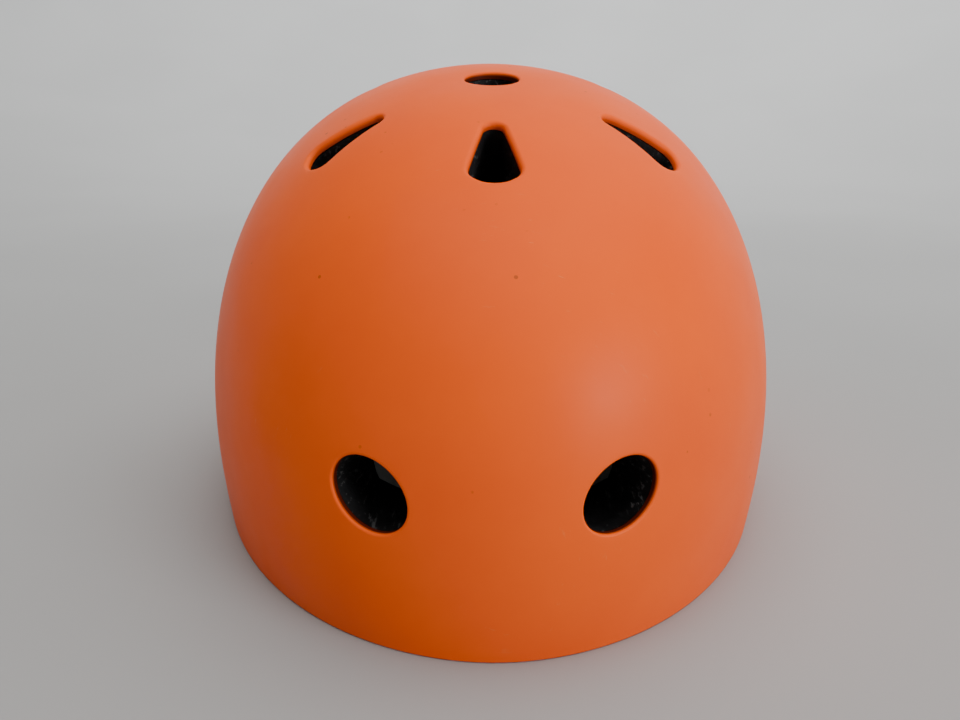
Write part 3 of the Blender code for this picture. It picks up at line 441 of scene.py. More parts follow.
def thread_material():
    """Grey bonded thread."""
    n = Nodes("thread_bonded")
    twist = n.noise(n.stretched(n.place(), (1200, 1200, 1200)), 1.0, 2)
    colour = n.colours(twist, (0.35, (0.10, 0.10, 0.105)), (0.65, (0.17, 0.17, 0.18)))
    return n.done(colour=colour, roughness=n.between(twist, 0.3, 0.7, 0.45, 0.6),
                  normal=n.bump(twist, 0.0001, 0.5), specular=0.4)


def plastic_material():
    """Black moulded acetal: spark-eroded grain, slight gloss changes, rubbed spots and dust."""
    n = Nodes("black_acetal")
    here = n.place()
    cloud = n.noise(here, 60, 3)
    grain = n.noise(here, 2200, 2, 0.6)
    colour = n.colours(cloud, (0.3, (0.014, 0.014, 0.015)), (0.7, (0.024, 0.024, 0.026)))
    spots = n.between(n.noise(here, 190, 4, 0.7), 0.58, 0.70)
    rubbed = n.times(spots, n.between(cloud, 0.5, 0.65))
    colour = n.mix(n.times(rubbed, 0.5), colour, (0.07, 0.07, 0.072))
    roughness = n.math("ADD", n.between(cloud, 0.3, 0.7, 0.36, 0.48), n.times(rubbed, 0.15))
    normal = n.bump(grain, 0.00006, 0.6)
    return n.done(colour=colour, roughness=roughness, normal=normal, specular=0.45)


def rubber_material():
    """Soft-touch rubber: matt, slightly uneven, with skin marks."""
    n = Nodes("soft_touch_rubber")
    here = n.place()
    cloud = n.noise(here, 120, 4, 0.6)
    colour = n.colours(cloud, (0.3, (0.022, 0.022, 0.024)), (0.7, (0.040, 0.040, 0.043)))
    grain = n.cells(here, 1400)
    roughness = n.between(cloud, 0.3, 0.7, 0.62, 0.8)
    return n.done(colour=colour, roughness=roughness, normal=n.bump(grain, 0.0001, 0.5),
                  specular=0.3, sheen=0.08)


def steel_material():
    """Turned stainless steel: fine tool marks and a few stains."""
    n = Nodes("stainless_turned")
    here = n.place()
    marks = n.noise(n.stretched(here, (2600, 400, 2600)), 1.0, 3, 0.6)
    stains = n.noise(here, 340, 3)
    colour = n.colours(stains, (0.35, (0.50, 0.49, 0.47)), (0.65, (0.64, 0.64, 0.62)))
    dulled = n.between(stains, 0.6, 0.75, 0.0, 0.12)
    roughness = n.math("ADD", n.between(marks, 0.3, 0.7, 0.20, 0.34), dulled)
    return n.done(colour=colour, roughness=roughness, normal=n.bump(marks, 0.00005, 0.4), metallic=1.0)


def hook_material():
    """Hook tape: rows of small black hooks, with lighter painted tops and painted shade between them."""
    n = Nodes("hook_tape_rows")
    here = n.place()
    hooks = n.cells(here, 800)
    # Painted light and shade: lighter at each raised hook, near black in the gaps between.
    colour = n.colours(hooks, (0.15, (0.035, 0.035, 0.037)), (0.55, (0.006, 0.006, 0.007)))
    return n.done(colour=colour, roughness=n.between(hooks, 0.1, 0.6, 0.45, 0.8),
                  normal=n.bump(hooks, 0.0005, -0.8), specular=0.35)


# ---------------- the dome's surface

def power(value, exponent):
    """A signed power."""
    return np.abs(value) ** exponent * np.sign(value)


def climb_profile():
    """Arc length from the crown against climb, for a meridian of mean size."""
    climb = np.concatenate([np.linspace(pi / 2, 0, 1600), np.linspace(0, -pi / 3, 400)[1:]])
    up = np.clip(climb, 0, None)
    spread = np.cos(up) ** (2 / DOME_POWER)
    rise = DOME_HEIGHT * np.sin(up) ** (2 / DOME_POWER) + np.minimum(climb, 0) / (pi / 2) * SKIRT_LENGTH
    mean = (FRONT_REACH + REAR_REACH + 2 * HALF_WIDTH) / 4
    steps = np.hypot(np.diff(mean * spread), np.diff(rise))
    return np.concatenate([[0], np.cumsum(steps)]), climb


ARC, CLIMB = climb_profile()


def tilted(angle, climb):
    """Points of the dome before centring, from arrays of plan angle and climb."""
    in_front = np.sin(angle) < 0
    n = np.where(in_front, PLAN_POWER_FRONT, PLAN_POWER_REAR)
    reach = np.where(in_front, FRONT_REACH, REAR_REACH)
    up = np.clip(climb, 0, pi / 2)
    down = np.minimum(climb, 0) / (pi / 2) * SKIRT_LENGTH
    nape = np.maximum(np.sin(angle), 0) ** 2
    spread = np.cos(up) ** (2 / DOME_POWER) - (SIDE_TUCK + REAR_TUCK * nape) * down ** 2
    rise = DOME_HEIGHT * np.sin(up) ** (2 / DOME_POWER) + down
    x = HALF_WIDTH * power(np.cos(angle), 2 / n) * spread
    y = reach * power(np.sin(angle), 2 / n) * spread
    back = y * cos(LEAN) - rise * sin(LEAN)
    return np.stack([x, back, y * sin(LEAN) + rise * cos(LEAN) + EQUATOR_HEIGHT], -1)


def centring():
    """The shift along Y that the part has."""
    climb = np.radians(2.0 * np.arange(-30, 45))
    standing = np.concatenate([tilted(np.full(75, side * pi / 2), climb) for side in (-1, 1)])
    reaches = standing[standing[:, 2] >= 0][:, 1]
    return np.array([0, -(reaches.min() + reaches.max()) / 2, 0])


SHIFT = centring()


def flat_to_angles(flat):
    """The plan angle and climb at points of the flattened dome, whose radius is arc length."""
    return np.arctan2(flat[:, 1], flat[:, 0]), np.interp(np.hypot(flat[:, 0], flat[:, 1]), ARC, CLIMB)


def skin(flat):
    """Points on the dome's outer surface."""
    return tilted(*flat_to_angles(flat)) + SHIFT


def skin_normals(flat):
    """Outward normals there."""
    step = 0.3 * MM
    along = skin(flat + [step, 0]) - skin(flat - [step, 0])
    across = skin(flat + [0, step]) - skin(flat - [0, step])
    normals = np.cross(along, across)
    return normals / np.linalg.norm(normals, axis=1, keepdims=True)


def layer(flat, depth):
    """Points at a depth under the outer surface."""
    if depth == 0:
        return skin(flat)
    return skin(flat) - skin_normals(flat) * depth


def local_frame(angle, climb):
    """(point, along, across, out) of the surface, as the part's vents have it."""
    step = 0.002
    climb = min(climb, pi / 2 - 2 * step)
    grid = tilted(np.array([angle + step, angle - step, angle, angle, angle]),
                  np.array([climb, climb, climb + step, climb - step, climb])) + SHIFT
    round_it = grid[0] - grid[1]
    out = np.cross(round_it, grid[2] - grid[3])
    out /= np.linalg.norm(out)
    along = round_it / np.linalg.norm(round_it)
    return grid[4], along, np.cross(out, along), out


def turned(place, angle):
    """A frame turned about its own out axis."""
    point, along, across, out = place
    return point, along * cos(angle) + across * sin(angle), across * cos(angle) - along * sin(angle), out


def plan_angle(azimuth):
    """The plan angle of a direction seen along the dome's axis: azimuth 0 is the brow."""
    n = PLAN_POWER_FRONT if cos(azimuth) > 0 else PLAN_POWER_REAR
    reach = FRONT_REACH if cos(azimuth) > 0 else REAR_REACH
    across = (abs(sin(azimuth)) / HALF_WIDTH) ** (n / 2)
    ahead = (abs(cos(azimuth)) / reach) ** (n / 2)
    turn = atan(ahead / across) if across > 1e-6 else pi / 2
    turn = turn if sin(azimuth) >= 0 else pi - turn
    return -turn if cos(azimuth) > 0 else turn


def climb_at(angle, radius):
    """The climb at which the dome's plan has a radius at this angle."""
    equator = tilted(np.array([angle]), np.array([0.0]))[0] - [0, 0, EQUATOR_HEIGHT]
    return acos((radius / np.linalg.norm(equator)) ** (DOME_POWER / 2))


def flat_at(place, local, depth):
    """Where points (x, y) of a frame, sent along its out axis, meet a layer, in the flattened dome."""
    point, along, across, out = place
    axes = np.stack([along, across])

    def seen(flat):
        return (layer(flat, depth) - point) @ axes.T

    flat = np.repeat(nearest_flat(place[0])[None, :], len(local), 0)
    for turn in range(9):
        h = (1.0 if turn == 0 else 0.2) * MM
        d_u = (seen(flat + [h, 0]) - seen(flat - [h, 0])) / (2 * h)
        d_v = (seen(flat + [0, h]) - seen(flat - [0, h])) / (2 * h)
        miss = local - seen(flat)
        det = d_u[:, 0] * d_v[:, 1] - d_v[:, 0] * d_u[:, 1]
        flat = flat + np.stack([(miss[:, 0] * d_v[:, 1] - miss[:, 1] * d_v[:, 0]) / det,
                                (miss[:, 1] * d_u[:, 0] - miss[:, 0] * d_u[:, 1]) / det], -1)
    return flat


def flat_grid(first, arcs, turns):
    """Points all over the flattened dome."""
    ring = np.linspace(-pi, pi, turns + 1)[:-1]
    out = np.linspace(first, ARC[-1], arcs)
    return np.stack([np.outer(out, np.cos(ring)), np.outer(out, np.sin(ring))], -1).reshape(-1, 2)


def nearest_flat(point):
    """Roughly the flattened position of a point of the dome."""
    grid = flat_grid(0.5 * MM, 240, 180)
    return grid[np.argmin(np.linalg.norm(skin(grid) - point, axis=1))]


# ---------------- vents

def arc(centre, radius, start, end, count):
    """Points and outward normals along an arc, angles in degrees."""
    angles = np.radians(np.linspace(start, end, count))
    normals = np.stack([np.cos(angles), np.sin(angles)], -1)
    return np.array(centre) + radius * normals, normals


def petal_outline():
    """A teardrop with a narrow end towards the crown (+y), straight flanks and a broad round end."""
    tip = [(0, PETAL_LENGTH / 2 - PETAL_TIP_RADIUS)]
    corners = [(side * (PETAL_WIDTH / 2 - PETAL_CORNER_RADIUS), PETAL_CORNER_RISE - PETAL_LENGTH / 2)
               for side in (-1, 1)]
    low = arc((0, PETAL_ARC_RADIUS - PETAL_LENGTH / 2), PETAL_ARC_RADIUS - PETAL_CORNER_RADIUS,
              -110, -70, 9)[0]
    centres = np.concatenate([tip, corners, low])
    radii = np.array([PETAL_TIP_RADIUS] + [PETAL_CORNER_RADIUS] * (len(centres) - 1))
    normals = arc((0, 0), 1, 0, 360, 73)[1][:-1]
    furthest = np.argmax(centres @ normals.T + radii[:, None], axis=0)
    corner_points = centres[furthest] + radii[furthest, None] * normals
    points, directions = [], []
    for i, here in enumerate(corner_points):
        following = corner_points[(i + 1) % len(corner_points)]
        turn = normals[(i + 1) % len(normals)] - normals[i]
        count = max(1, round(np.linalg.norm(following - here) / FLANK_SPACING))
        for step in range(count):
            points.append(here + (following - here) * step / count)
            directions.append(normals[i] + turn * step / count)
    return np.array(points), np.array(directions)


def oval_outline():
    """The ellipse of a low vent."""
    t = np.linspace(0, 2 * pi, 73)[:-1]
    points = np.stack([OVAL_HALF_LENGTH * np.cos(t), OVAL_HALF_HEIGHT * np.sin(t)], -1)
    normals = np.stack([np.cos(t) / OVAL_HALF_LENGTH, np.sin(t) / OVAL_HALF_HEIGHT], -1)
    return points, normals / np.linalg.norm(normals, axis=1, keepdims=True)


Vent = namedtuple("Vent", "outline normals place lip_radius grime")


def vents():
    """Every vent, its outline anticlockwise seen from outside."""
    circle, normals = arc((0, 0), CROWN_VENT_RADIUS, 0, 360, 61)
    found = [Vent(circle[:-1], normals[:-1], local_frame(-pi / 2, pi / 2), ROUND_LIP_RADIUS, 1.0)]
    for azimuth in PETAL_AZIMUTHS:
        angle = plan_angle(radians(azimuth))
        place = local_frame(angle, climb_at(angle, PETAL_RING_RADIUS))
        found.append(Vent(*petal_outline(), place, PETAL_LIP_RADIUS, PETAL_PAINTED_SHADE))
    for side in (-1, 1):
        for end, way in (("front", -1), ("rear", 1)):
            angle = way * (pi / 2 - OVAL_SIDE_ANGLE * side)
            place = turned(local_frame(angle, OVAL_CLIMB[end]), -OVAL_ROLL * side * way)
            found.append(Vent(*oval_outline(), place, ROUND_LIP_RADIUS, 1.0))
    return found


VENTS = vents()


def vent_loop(vent, growth, depth, every=1):
    """A vent's outline grown by a length, in the flattened dome at a depth."""
    return flat_at(vent.place, (vent.outline + vent.normals * growth)[::every], depth)


# ---------------- sheets over the dome

def inside(points, loop):
    """Which points lie inside a closed loop, by crossings."""
    x, y = points[:, 0:1], points[:, 1:2]
    x0, y0 = loop[:, 0], loop[:, 1]
    x1, y1 = np.roll(x0, -1), np.roll(y0, -1)
    crosses = (y0 > y) != (y1 > y)
    with np.errstate(divide="ignore", invalid="ignore"):
        at = x0 + (y - y0) * (x1 - x0) / (y1 - y0)
    return (np.sum(crosses & (x < at), axis=1) % 2).astype(bool)


def rim_loop(depth, height, count=360):
    """The flattened loop on which a layer has a height above the floor."""
    ring = np.linspace(-pi, pi, count + 1)[:-1]
    low = np.full(count, 120 * MM)
    high = np.full(count, ARC[-1])
    for _ in range(36):
        middle = (low + high) / 2
        z = layer(np.stack([middle * np.cos(ring), middle * np.sin(ring)], -1), depth)[:, 2]
        low = np.where(z > height, middle, low)
        high = np.where(z > height, high, middle)
    return np.stack([low * np.cos(ring), low * np.sin(ring)], -1)


def sheet(bm, depth, height, growths, spacing):
    """Lay one face of a wall over the dome.  Gives its loops of vertices: the rim's, then each vent's."""
    rim = rim_loop(depth, height)
    loops = [rim]
    guards = []
    for vent, growth in zip(VENTS, growths):
        loops.append(vent_loop(vent, growth, depth))
        guards += [vent_loop(vent, growth + extra, depth, 2) for extra in GUARD_STEPS]
    reach = np.hypot(*rim.T).max()
    count = int(reach / spacing) + 2
    columns, rows = np.meshgrid(np.arange(-count, count + 1), np.arange(-count, count + 1))
    hexes = np.stack([(columns + 0.5 * (rows % 2)) * spacing, rows * spacing * 0.866], -1).reshape(-1, 2)
    shrunk = rim * (1 - 0.6 * spacing / np.hypot(*rim.T)[:, None])
    hexes = hexes[inside(hexes, shrunk)]
    for vent, growth in zip(VENTS, growths):
        hexes = hexes[~inside(hexes, vent_loop(vent, growth + CLEARING, depth))]
    flats = np.concatenate(loops + guards + [hexes])
    edges, start = [], 0
    for loop in loops:
        edges += [(start + i, start + (i + 1) % len(loop)) for i in range(len(loop))]
        start += len(loop)
    spots, _, faces, origins, _, _ = delaunay_2d_cdt([Vector(p) for p in flats], edges, [], 0, 1e-7)
    spots = np.array(spots)
    faces = np.array(faces)
    middles = spots[faces].mean(1)
    keep = inside(middles, rim)
    for loop in loops[1:]:
        keep &= ~inside(middles, loop)
    verts = [bm.verts.new(p) for p in layer(spots, depth)]
    for face in faces[keep]:
        bm.faces.new([verts[i] for i in face])
    where = {}
    for i, source in enumerate(origins):
        for j in source:
            where[j] = verts[i]
    found, start = [], 0
    for loop in loops:
        found.append([where[start + i] for i in range(len(loop))])
        start += len(loop)
    return found


def ring_of(bm, points):
    """New vertices at points."""
    return [bm.verts.new(p) for p in points]


def strip(bm, a, b):
    """Quads between two loops of equal length."""
    for i in range(len(a)):
        j = (i + 1) % len(a)
        bm.faces.new((a[i], a[j], b[j], b[i]))


def extend(bm, loop, rings):
    """Strips from a loop through rings of points.  Gives the last loop."""
    for points in rings:
        new = ring_of(bm, points)
        strip(bm, loop, new)
        loop = new
    return loop


def outward(bm):
    """Point the faces out, drop loose vertices."""
    loose = [v for v in bm.verts if not v.link_faces]
    bmesh.ops.delete(bm, geom=loose, context="VERTS")
    bmesh.ops.recalc_face_normals(bm, faces=bm.faces)


def new_piece(name, bm, material, sharp=35):
    """A piece from a bmesh, smooth but for its sharp edges."""
    outward(bm)
    mesh = bpy.data.meshes.new(name)
    bm.to_mesh(mesh)
    bm.free()
    mesh.shade_smooth()
    mesh.set_sharp_from_angle(angle=radians(sharp))
    mesh.materials.append(material)
    item = bpy.data.objects.new(name, mesh)
    bpy.context.scene.collection.objects.link(item)
    return item


def rounded_rim(bm, outer, inner, radius, floor, foot_radius):
    """Close a wall along its lower edge: a round outer corner, a flat foot and a round inner corner."""
    points = np.array([v.co for v in outer])
    inner_points = np.array([v.co for v in inner])
    inward = inner_points - points
    inward[:, 2] = 0
    inward /= np.linalg.norm(inward, axis=1, keepdims=True)
    rings = []
    for turn in QUARTER[1:]:
        rings.append(points + inward * radius * (1 - cos(turn)))
        rings[-1][:, 2] = floor + radius * (1 - sin(turn))
    for turn in QUARTER[:-1]:
        rings.append(inner_points - inward * foot_radius * (1 - sin(turn)))
        rings[-1][:, 2] = floor + foot_radius * (1 - cos(turn))
    strip(bm, extend(bm, outer, rings), inner)


def keep_painted_vent_shade(shell):
    """Store how much painted shade each vertex gets: more towards the inner face, less in the petals."""
    spots = np.empty(len(shell.data.vertices) * 3)
    shell.data.vertices.foreach_get("co", spots)
    spots = spots.reshape(-1, 3)
    grid = flat_grid(0.2 * MM, 480, 720)
    skin_points, normals = skin(grid), skin_normals(grid)
    tree = KDTree(len(skin_points))
    for i, point in enumerate(skin_points):
        tree.insert(point, i)
    tree.balance()
    depths = [(skin_points[i] - spot) @ normals[i] for spot in spots for i in [tree.find(spot)[1]]]
    centres = np.array([vent.place[0] for vent in VENTS])
    nearest = np.argmin(np.linalg.norm(spots[:, None] - centres[None], axis=2), axis=1)
    shares = np.array([vent.grime for vent in VENTS])[nearest]
    grime = np.clip(np.array(depths) / SHELL_WALL, 0, 1) * shares
    stored = shell.data.attributes.new("grime", "FLOAT", "POINT")
    stored.data.foreach_set("value", grime.astype(np.float32))


def build_shell(material):
    """The moulded shell: rounded vent lips, straight vent walls and a rounded rim."""
    bm = bmesh.new()
    outer = sheet(bm, 0, RIM_RADIUS, [vent.lip_radius for vent in VENTS], SHELL_SPACING)
    inner = sheet(bm, SHELL_WALL, SHELL_FOOT_RADIUS, [0] * len(VENTS), SHELL_SPACING * 1.6)
    rounded_rim(bm, outer[0], inner[0], RIM_RADIUS, 0, SHELL_FOOT_RADIUS)
    for vent, top, bottom in zip(VENTS, outer[1:], inner[1:]):
        rings = []
        for turn in (k / 7 * pi / 2 for k in range(1, 8)):
            edge = skin(vent_loop(vent, vent.lip_radius * (1 - sin(turn)), 0))
            rings.append(edge - vent.place[3] * vent.lip_radius * (1 - cos(turn)))
        strip(bm, extend(bm, top, rings), bottom)
    shell = new_piece("moulded_shell", bm, material, 50)
    keep_painted_vent_shade(shell)
    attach(shell, "helmet")
    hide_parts("outer_shell")


def build_liner(material):
    """The foam liner, cut through at every vent."""
    bm = bmesh.new()
    growths = [FOAM_GROWTH] * len(VENTS)
    outer = sheet(bm, LINER_DEPTH, LINER_BOTTOM + LINER_RIM_RADIUS, growths, FOAM_SPACING)
    inner = sheet(bm, LINER_BACK, LINER_BOTTOM + LINER_FOOT_RADIUS, growths, FOAM_SPACING)
    rounded_rim(bm, outer[0], inner[0], LINER_RIM_RADIUS, LINER_BOTTOM, LINER_FOOT_RADIUS)
    for vent, top, bottom in zip(VENTS, outer[1:], inner[1:]):
        a, b = (np.array([v.co for v in loop]) for loop in (top, bottom))
        shift = -FOAM_SWELL * vent.normals @ np.stack(vent.place[1:3])
        strip(bm, extend(bm, top, [a + (b - a) * k / 8 + shift for k in range(1, 8)]), bottom)
    liner = new_piece("moulded_foam_liner", bm, material, 60)
    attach(liner, "helmet")
    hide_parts("foam_liner")


# ---------------- sewn pads

def flat_of(angle, climb):
    """Flattened positions of plan angles and climbs."""
    radius = np.interp(-climb, -CLIMB, ARC)
    return np.stack([radius * np.cos(angle), radius * np.sin(angle)], -1)


def dome_spots(angles, climbs):
    """A map from (u, v), both -1 to 1, and a depth to points under the dome."""
    def spots(u, v, depth):
        angle = np.radians((angles[0] + angles[1]) / 2 + u * (angles[1] - angles[0]) / 2)
        climb = np.radians((climbs[0] + climbs[1]) / 2 + v * (climbs[1] - climbs[0]) / 2)
        flat = flat_of(angle, climb)
        return skin(flat) - skin_normals(flat) * depth[:, None]
    return spots


def cradle_spots(node):
    """A map from (u, v) and a depth to points of the upright pad on the cradle."""
    low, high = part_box(node)
    middle, half = (low + high) / 2, (high - low) / 2

    def spots(u, v, depth):
        return np.stack([middle.x + u * half.x, high.y - depth, middle.z + v * half.z], -1)
    return spots


def swell(u, v, lengths, wall, channels, ring):
    """How thick a pad is: round at its edges, pulled in along its sewn channels."""
    side = 1.0 if ring else edge_rise((1 - np.abs(u)) * lengths[0] / 2, wall)
    thick = wall * side * edge_rise((1 - np.abs(v)) * lengths[1] / 2, wall)
    for channel in channels:
        gap = (u - channel) * lengths[0] / 2
        thick = thick * (1 - CHANNEL_PULL * np.exp(-(gap / CHANNEL_HALF) ** 2))
    return thick


def edge_rise(distance, wall):
    """A quarter round from 0 at the edge to 1."""
    return np.sqrt(np.clip(1 - (1 - np.clip(distance / (1.1 * wall), 0, 1)) ** 2, 0, 1))


def build_pad(name, spots, counts, channels, materials, body="helmet", back=PAD_DEPTH, share=PAD_SHARE):
    """A sewn pad: two grids, blown up by cloth simulation, with bound edge and stitched channels."""
    columns, rows = counts
    fabric, trim, thread = materials
    ring = name == "pad_crown"
    wall = PAD_WALL * share
    across = columns if ring else columns + 1
    j, i = np.meshgrid(np.arange(rows + 1), np.arange(across))
    u, v = (2 * i / columns - 1).ravel(), (2 * j / rows - 1).ravel()
    if not ring:
        u, v = u * np.sqrt(1 - SIDE_PULL * v ** 2), v * np.sqrt(1 - END_PULL * u ** 2)

    def layer_at(depth):
        return spots(u, v, depth + np.zeros_like(u)).reshape(across, rows + 1, 3)

    base = layer_at(back)
    lengths = [np.linalg.norm(np.diff(line, axis=0), axis=1).sum()
               for line in (base[:, rows // 2], base[across // 2])]
    thick = swell(u, v, lengths, wall, channels, ring)
    edge_depth = back + BACK_SHARE * wall
    front = layer_at(edge_depth + (1 - BACK_SHARE) * thick)
    rear = layer_at(edge_depth - BACK_SHARE * thick)
    bm = bmesh.new()
    top = [[bm.verts.new(spot) for spot in line] for line in front]
    low = [[bm.verts.new(rear[a, b]) if (ring or 0 < a < columns) and 0 < b < rows else top[a][b]
            for b in range(rows + 1)] for a in range(across)]
    for grid in (top, low):
        for a in range(columns):
            here, beside = grid[a], grid[(a + 1) % across]
            for b in range(rows):
                bm.faces.new((here[b], beside[b], beside[b + 1], here[b + 1]))
    bm.verts.index_update()
    seams = [round((channel + 1) / 2 * columns) for channel in channels]
    pinned = {vert.index for row in low + [top[k] for k in seams] for vert in row}
    index = np.array([[vert.index for vert in row] for row in top])
    pad = new_piece(f"{name}_cushion", bm, fabric, 60)
    blow_up(pad, sorted(pinned))
    shape = np.array([vert.co for vert in pad.data.vertices])[index]
    edges, inset = [], []
    for loops, k in ((edges, 0), (inset, STITCH_INSET)):
        if ring:
            loops += [shape[:, k], shape[:, rows - k]]
        else:
            loops.append(shape[tuple(np.transpose(border_walk(columns, rows, k)))])
    finer = pad.modifiers.new("finer", "SUBSURF")
    finer.levels = finer.render_levels = 1
    applied(pad)
    normals = skin_of(pad)
    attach(pad, body)
    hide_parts(name)
    binding = tube(f"{name}_binding", edges, BINDING_RADIUS, trim)
    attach(binding, body)
    rows_of_thread = [shape[k][1:-1] for k in seams] + [np.concatenate([loop, loop[:1]]) for loop in inset]
    sewn = stitches(f"{name}_stitching", rows_of_thread, normals, thread, PAD_STITCH)
    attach(sewn, body)


def border_walk(columns, rows, inset):
    """Grid places round the border, or round a loop inside it."""
    right, end = columns - inset, rows - inset
    return ([(a, inset) for a in range(inset, right)] + [(right, b) for b in range(inset, end)]
            + [(a, end) for a in range(right, inset, -1)] + [(inset, b) for b in range(end, inset, -1)])


def blow_up(item, pinned):
    """Swell a cover by cloth simulation under a little pressure, with some vertices held."""
    start = np.array([vert.co for vert in item.data.vertices])
    item.vertex_groups.new(name="held").add(pinned, 1.0, "REPLACE")
    cloth = item.modifiers.new("cloth", "CLOTH")
    settings = cloth.settings
    settings.quality = 6
    settings.mass = 0.15
    settings.tension_stiffness = settings.compression_stiffness = 8
    settings.shear_stiffness = 3
    settings.bending_stiffness = 0.3
    settings.use_pressure = True
    settings.uniform_pressure_force = 4
    settings.vertex_group_mass = "held"
    settings.effector_weights.gravity = 0
    cloth.point_cache.frame_start, cloth.point_cache.frame_end = 1, SWELL_FRAMES
    scene = bpy.context.scene
    for step in range(SWELL_FRAMES):
        scene.frame_set(step + 1)
    graph = bpy.context.evaluated_depsgraph_get()
    moved = np.array([vert.co for vert in item.evaluated_get(graph).data.vertices])
    item.modifiers.remove(cloth)
    item.vertex_groups.clear()
    scene.frame_set(1)
    shift = moved - start
    far = np.linalg.norm(shift, axis=1, keepdims=True)
    shift *= np.minimum(1, SWELL_CAP / np.maximum(far, 1e-9))
    item.data.vertices.foreach_set("co", (start + shift).ravel().astype(np.float32))
    item.data.update()


def applied(item):
    """Turn an item's modifiers into its mesh."""
    graph = bpy.context.evaluated_depsgraph_get()
    graph.update()
    mesh = bpy.data.meshes.new_from_object(item.evaluated_get(graph))
    item.modifiers.clear()
    item.data = mesh


def skin_of(item):
    """A search tree of an item's face middles, and their normals."""
    tree = KDTree(len(item.data.polygons))
    for face in item.data.polygons:
        tree.insert(face.center, face.index)
    tree.balance()
    return lambda point: item.data.polygons[tree.find(point)[1]].normal


def tube(name, loops, radius, material, sides=8):
    """A closed tube along each loop of points."""
    bm = bmesh.new()
    for loop in loops:
        rings = []
        for k, point in enumerate(loop):
            ahead = Vector(loop[(k + 1) % len(loop)]) - Vector(loop[k - 1])
            across = (side.cross(ahead) if rings else ahead.orthogonal()).normalized()
            side = ahead.cross(across).normalized()
            rings.append([bm.verts.new(Vector(point) + (across * cos(t) - side * sin(t)) * radius)
                          for t in (2 * pi * m / sides for m in range(sides))])
        for k in range(len(rings)):
            strip(bm, rings[k - 1], rings[k])
    return new_piece(name, bm, material, 80)


def stitches(name, lines, normal_at, material, pitch, radius=0.28 * MM):
    """Short rounded stitches along lines of points, half sunk in the cloth."""
    bm = bmesh.new()
    for line in lines:
        points = np.array(line)
        steps = np.linalg.norm(np.diff(points, axis=0), axis=1)
        run = np.concatenate([[0], np.cumsum(steps)])
        for k in range(int(run[-1] / pitch)):
            ends = [Vector([np.interp(run_at, run, points[:, axis]) for axis in range(3)])
                    for run_at in ((k + 0.2) * pitch, (k + 0.8) * pitch)]
            middle = (ends[0] + ends[1]) / 2
            ahead = (ends[1] - ends[0]).normalized()
            out = Vector(normal_at(middle))
            turn = Matrix((ahead, out.cross(ahead).normalized(), out)).transposed().to_4x4()
            size = Matrix.Diagonal((0.42 * pitch, radius, radius * 0.8, 1))
            place = Matrix.Translation(middle + out * radius * 0.35) @ turn @ size
            bmesh.ops.create_icosphere(bm, subdivisions=1, radius=1, matrix=place)
    return new_piece(name, bm, material, 80)


# ---------------- webbing and bands

def anchor_place(end):
    """The frame of a left anchor, found by its height."""
    low, high = -0.2, 0.4
    for _ in range(40):
        middle = (low + high) / 2
        if local_frame(ANCHOR_ANGLES[end], middle)[0][2] < ANCHOR_Z:
            low = middle
        else:
            high = middle
    return [Vector(part) for part in local_frame(ANCHOR_ANGLES[end], low)]


def mirrored(vector, side):
    """The vector on the wearer's left (1) or right (-1)."""
    return Vector((vector.x * side, vector.y, vector.z))


def side_route(end, side, steps=34):
    """(points, half widths) of a strap from its anchor plate to its divider."""
    point, along, across, out = anchor_place(end)
    start = point - out * PLATE_DEPTH - across * (ANCHOR_HEIGHT / 2 - STRAP_HOLD)
    way = 1 if end == "rear" else -1
    entry = Vector((DIVIDER_X, HARNESS_Y + way * DIVIDER_REACH, WEB_Z))
    heading = Vector((-0.72, -0.69 * way, 0)).normalized()
    down = (Vector((0, 0, -1)) - across * 0.25 - out * 0.08).normalized()
    route = interpolate_bezier(start, start + down * STRAP_DROP, entry - heading * STRAP_LEAD, entry, steps)
    last = heading.cross(Vector((0, 0, 1)))
    last = -last if along.dot(last) < 0 else last
    halves = [along.lerp(last, k / (steps - 1)).normalized() * (WEB_WIDTH / 2) for k in range(steps)]
    return [mirrored(p, side) for p in route], [mirrored(h, side) for h in halves]


def ribbon(name, points, halves, wall, material, widths=9, edge=3):
    """A flat strap with round edges; keeps its place across and along for the weave."""
    bm = bmesh.new()
    run = 0.0
    weave = []
    rings = []
    for k, (point, half) in enumerate(zip(points, halves)):
        ahead = (points[min(k + 1, len(points) - 1)] - points[max(k - 1, 0)]).normalized()
        half = half - ahead * half.dot(ahead)
        up = ahead.cross(half).normalized() * (wall / 2)
        run += (point - points[k - 1]).length if k else 0.0
        flat = 1 - wall / 2 / half.length
        section = [(flat * (1 - 2 * m / (widths - 1)), 1.0) for m in range(widths)]
        turns = [pi * m / (edge + 1) for m in range(1, edge + 1)]
        section += [(-flat - (1 - flat) * sin(t), cos(t)) for t in turns]
        section += [(-a, -b) for a, b in section]
        rings.append([bm.verts.new(point + half * a + up * b) for a, b in section])
        weave += [(half.length * a, run, 0) for a, b in section]
    for low, high in zip(rings, rings[1:]):
        strip(bm, low, high)
    bm.faces.new(rings[0])
    bm.faces.new(rings[-1])
    item = new_piece(name, bm, material, 50)
    stored = item.data.attributes.new("weave", "FLOAT_VECTOR", "POINT")
    stored.data.foreach_set("vector", np.array(weave, np.float32).ravel())
    return item


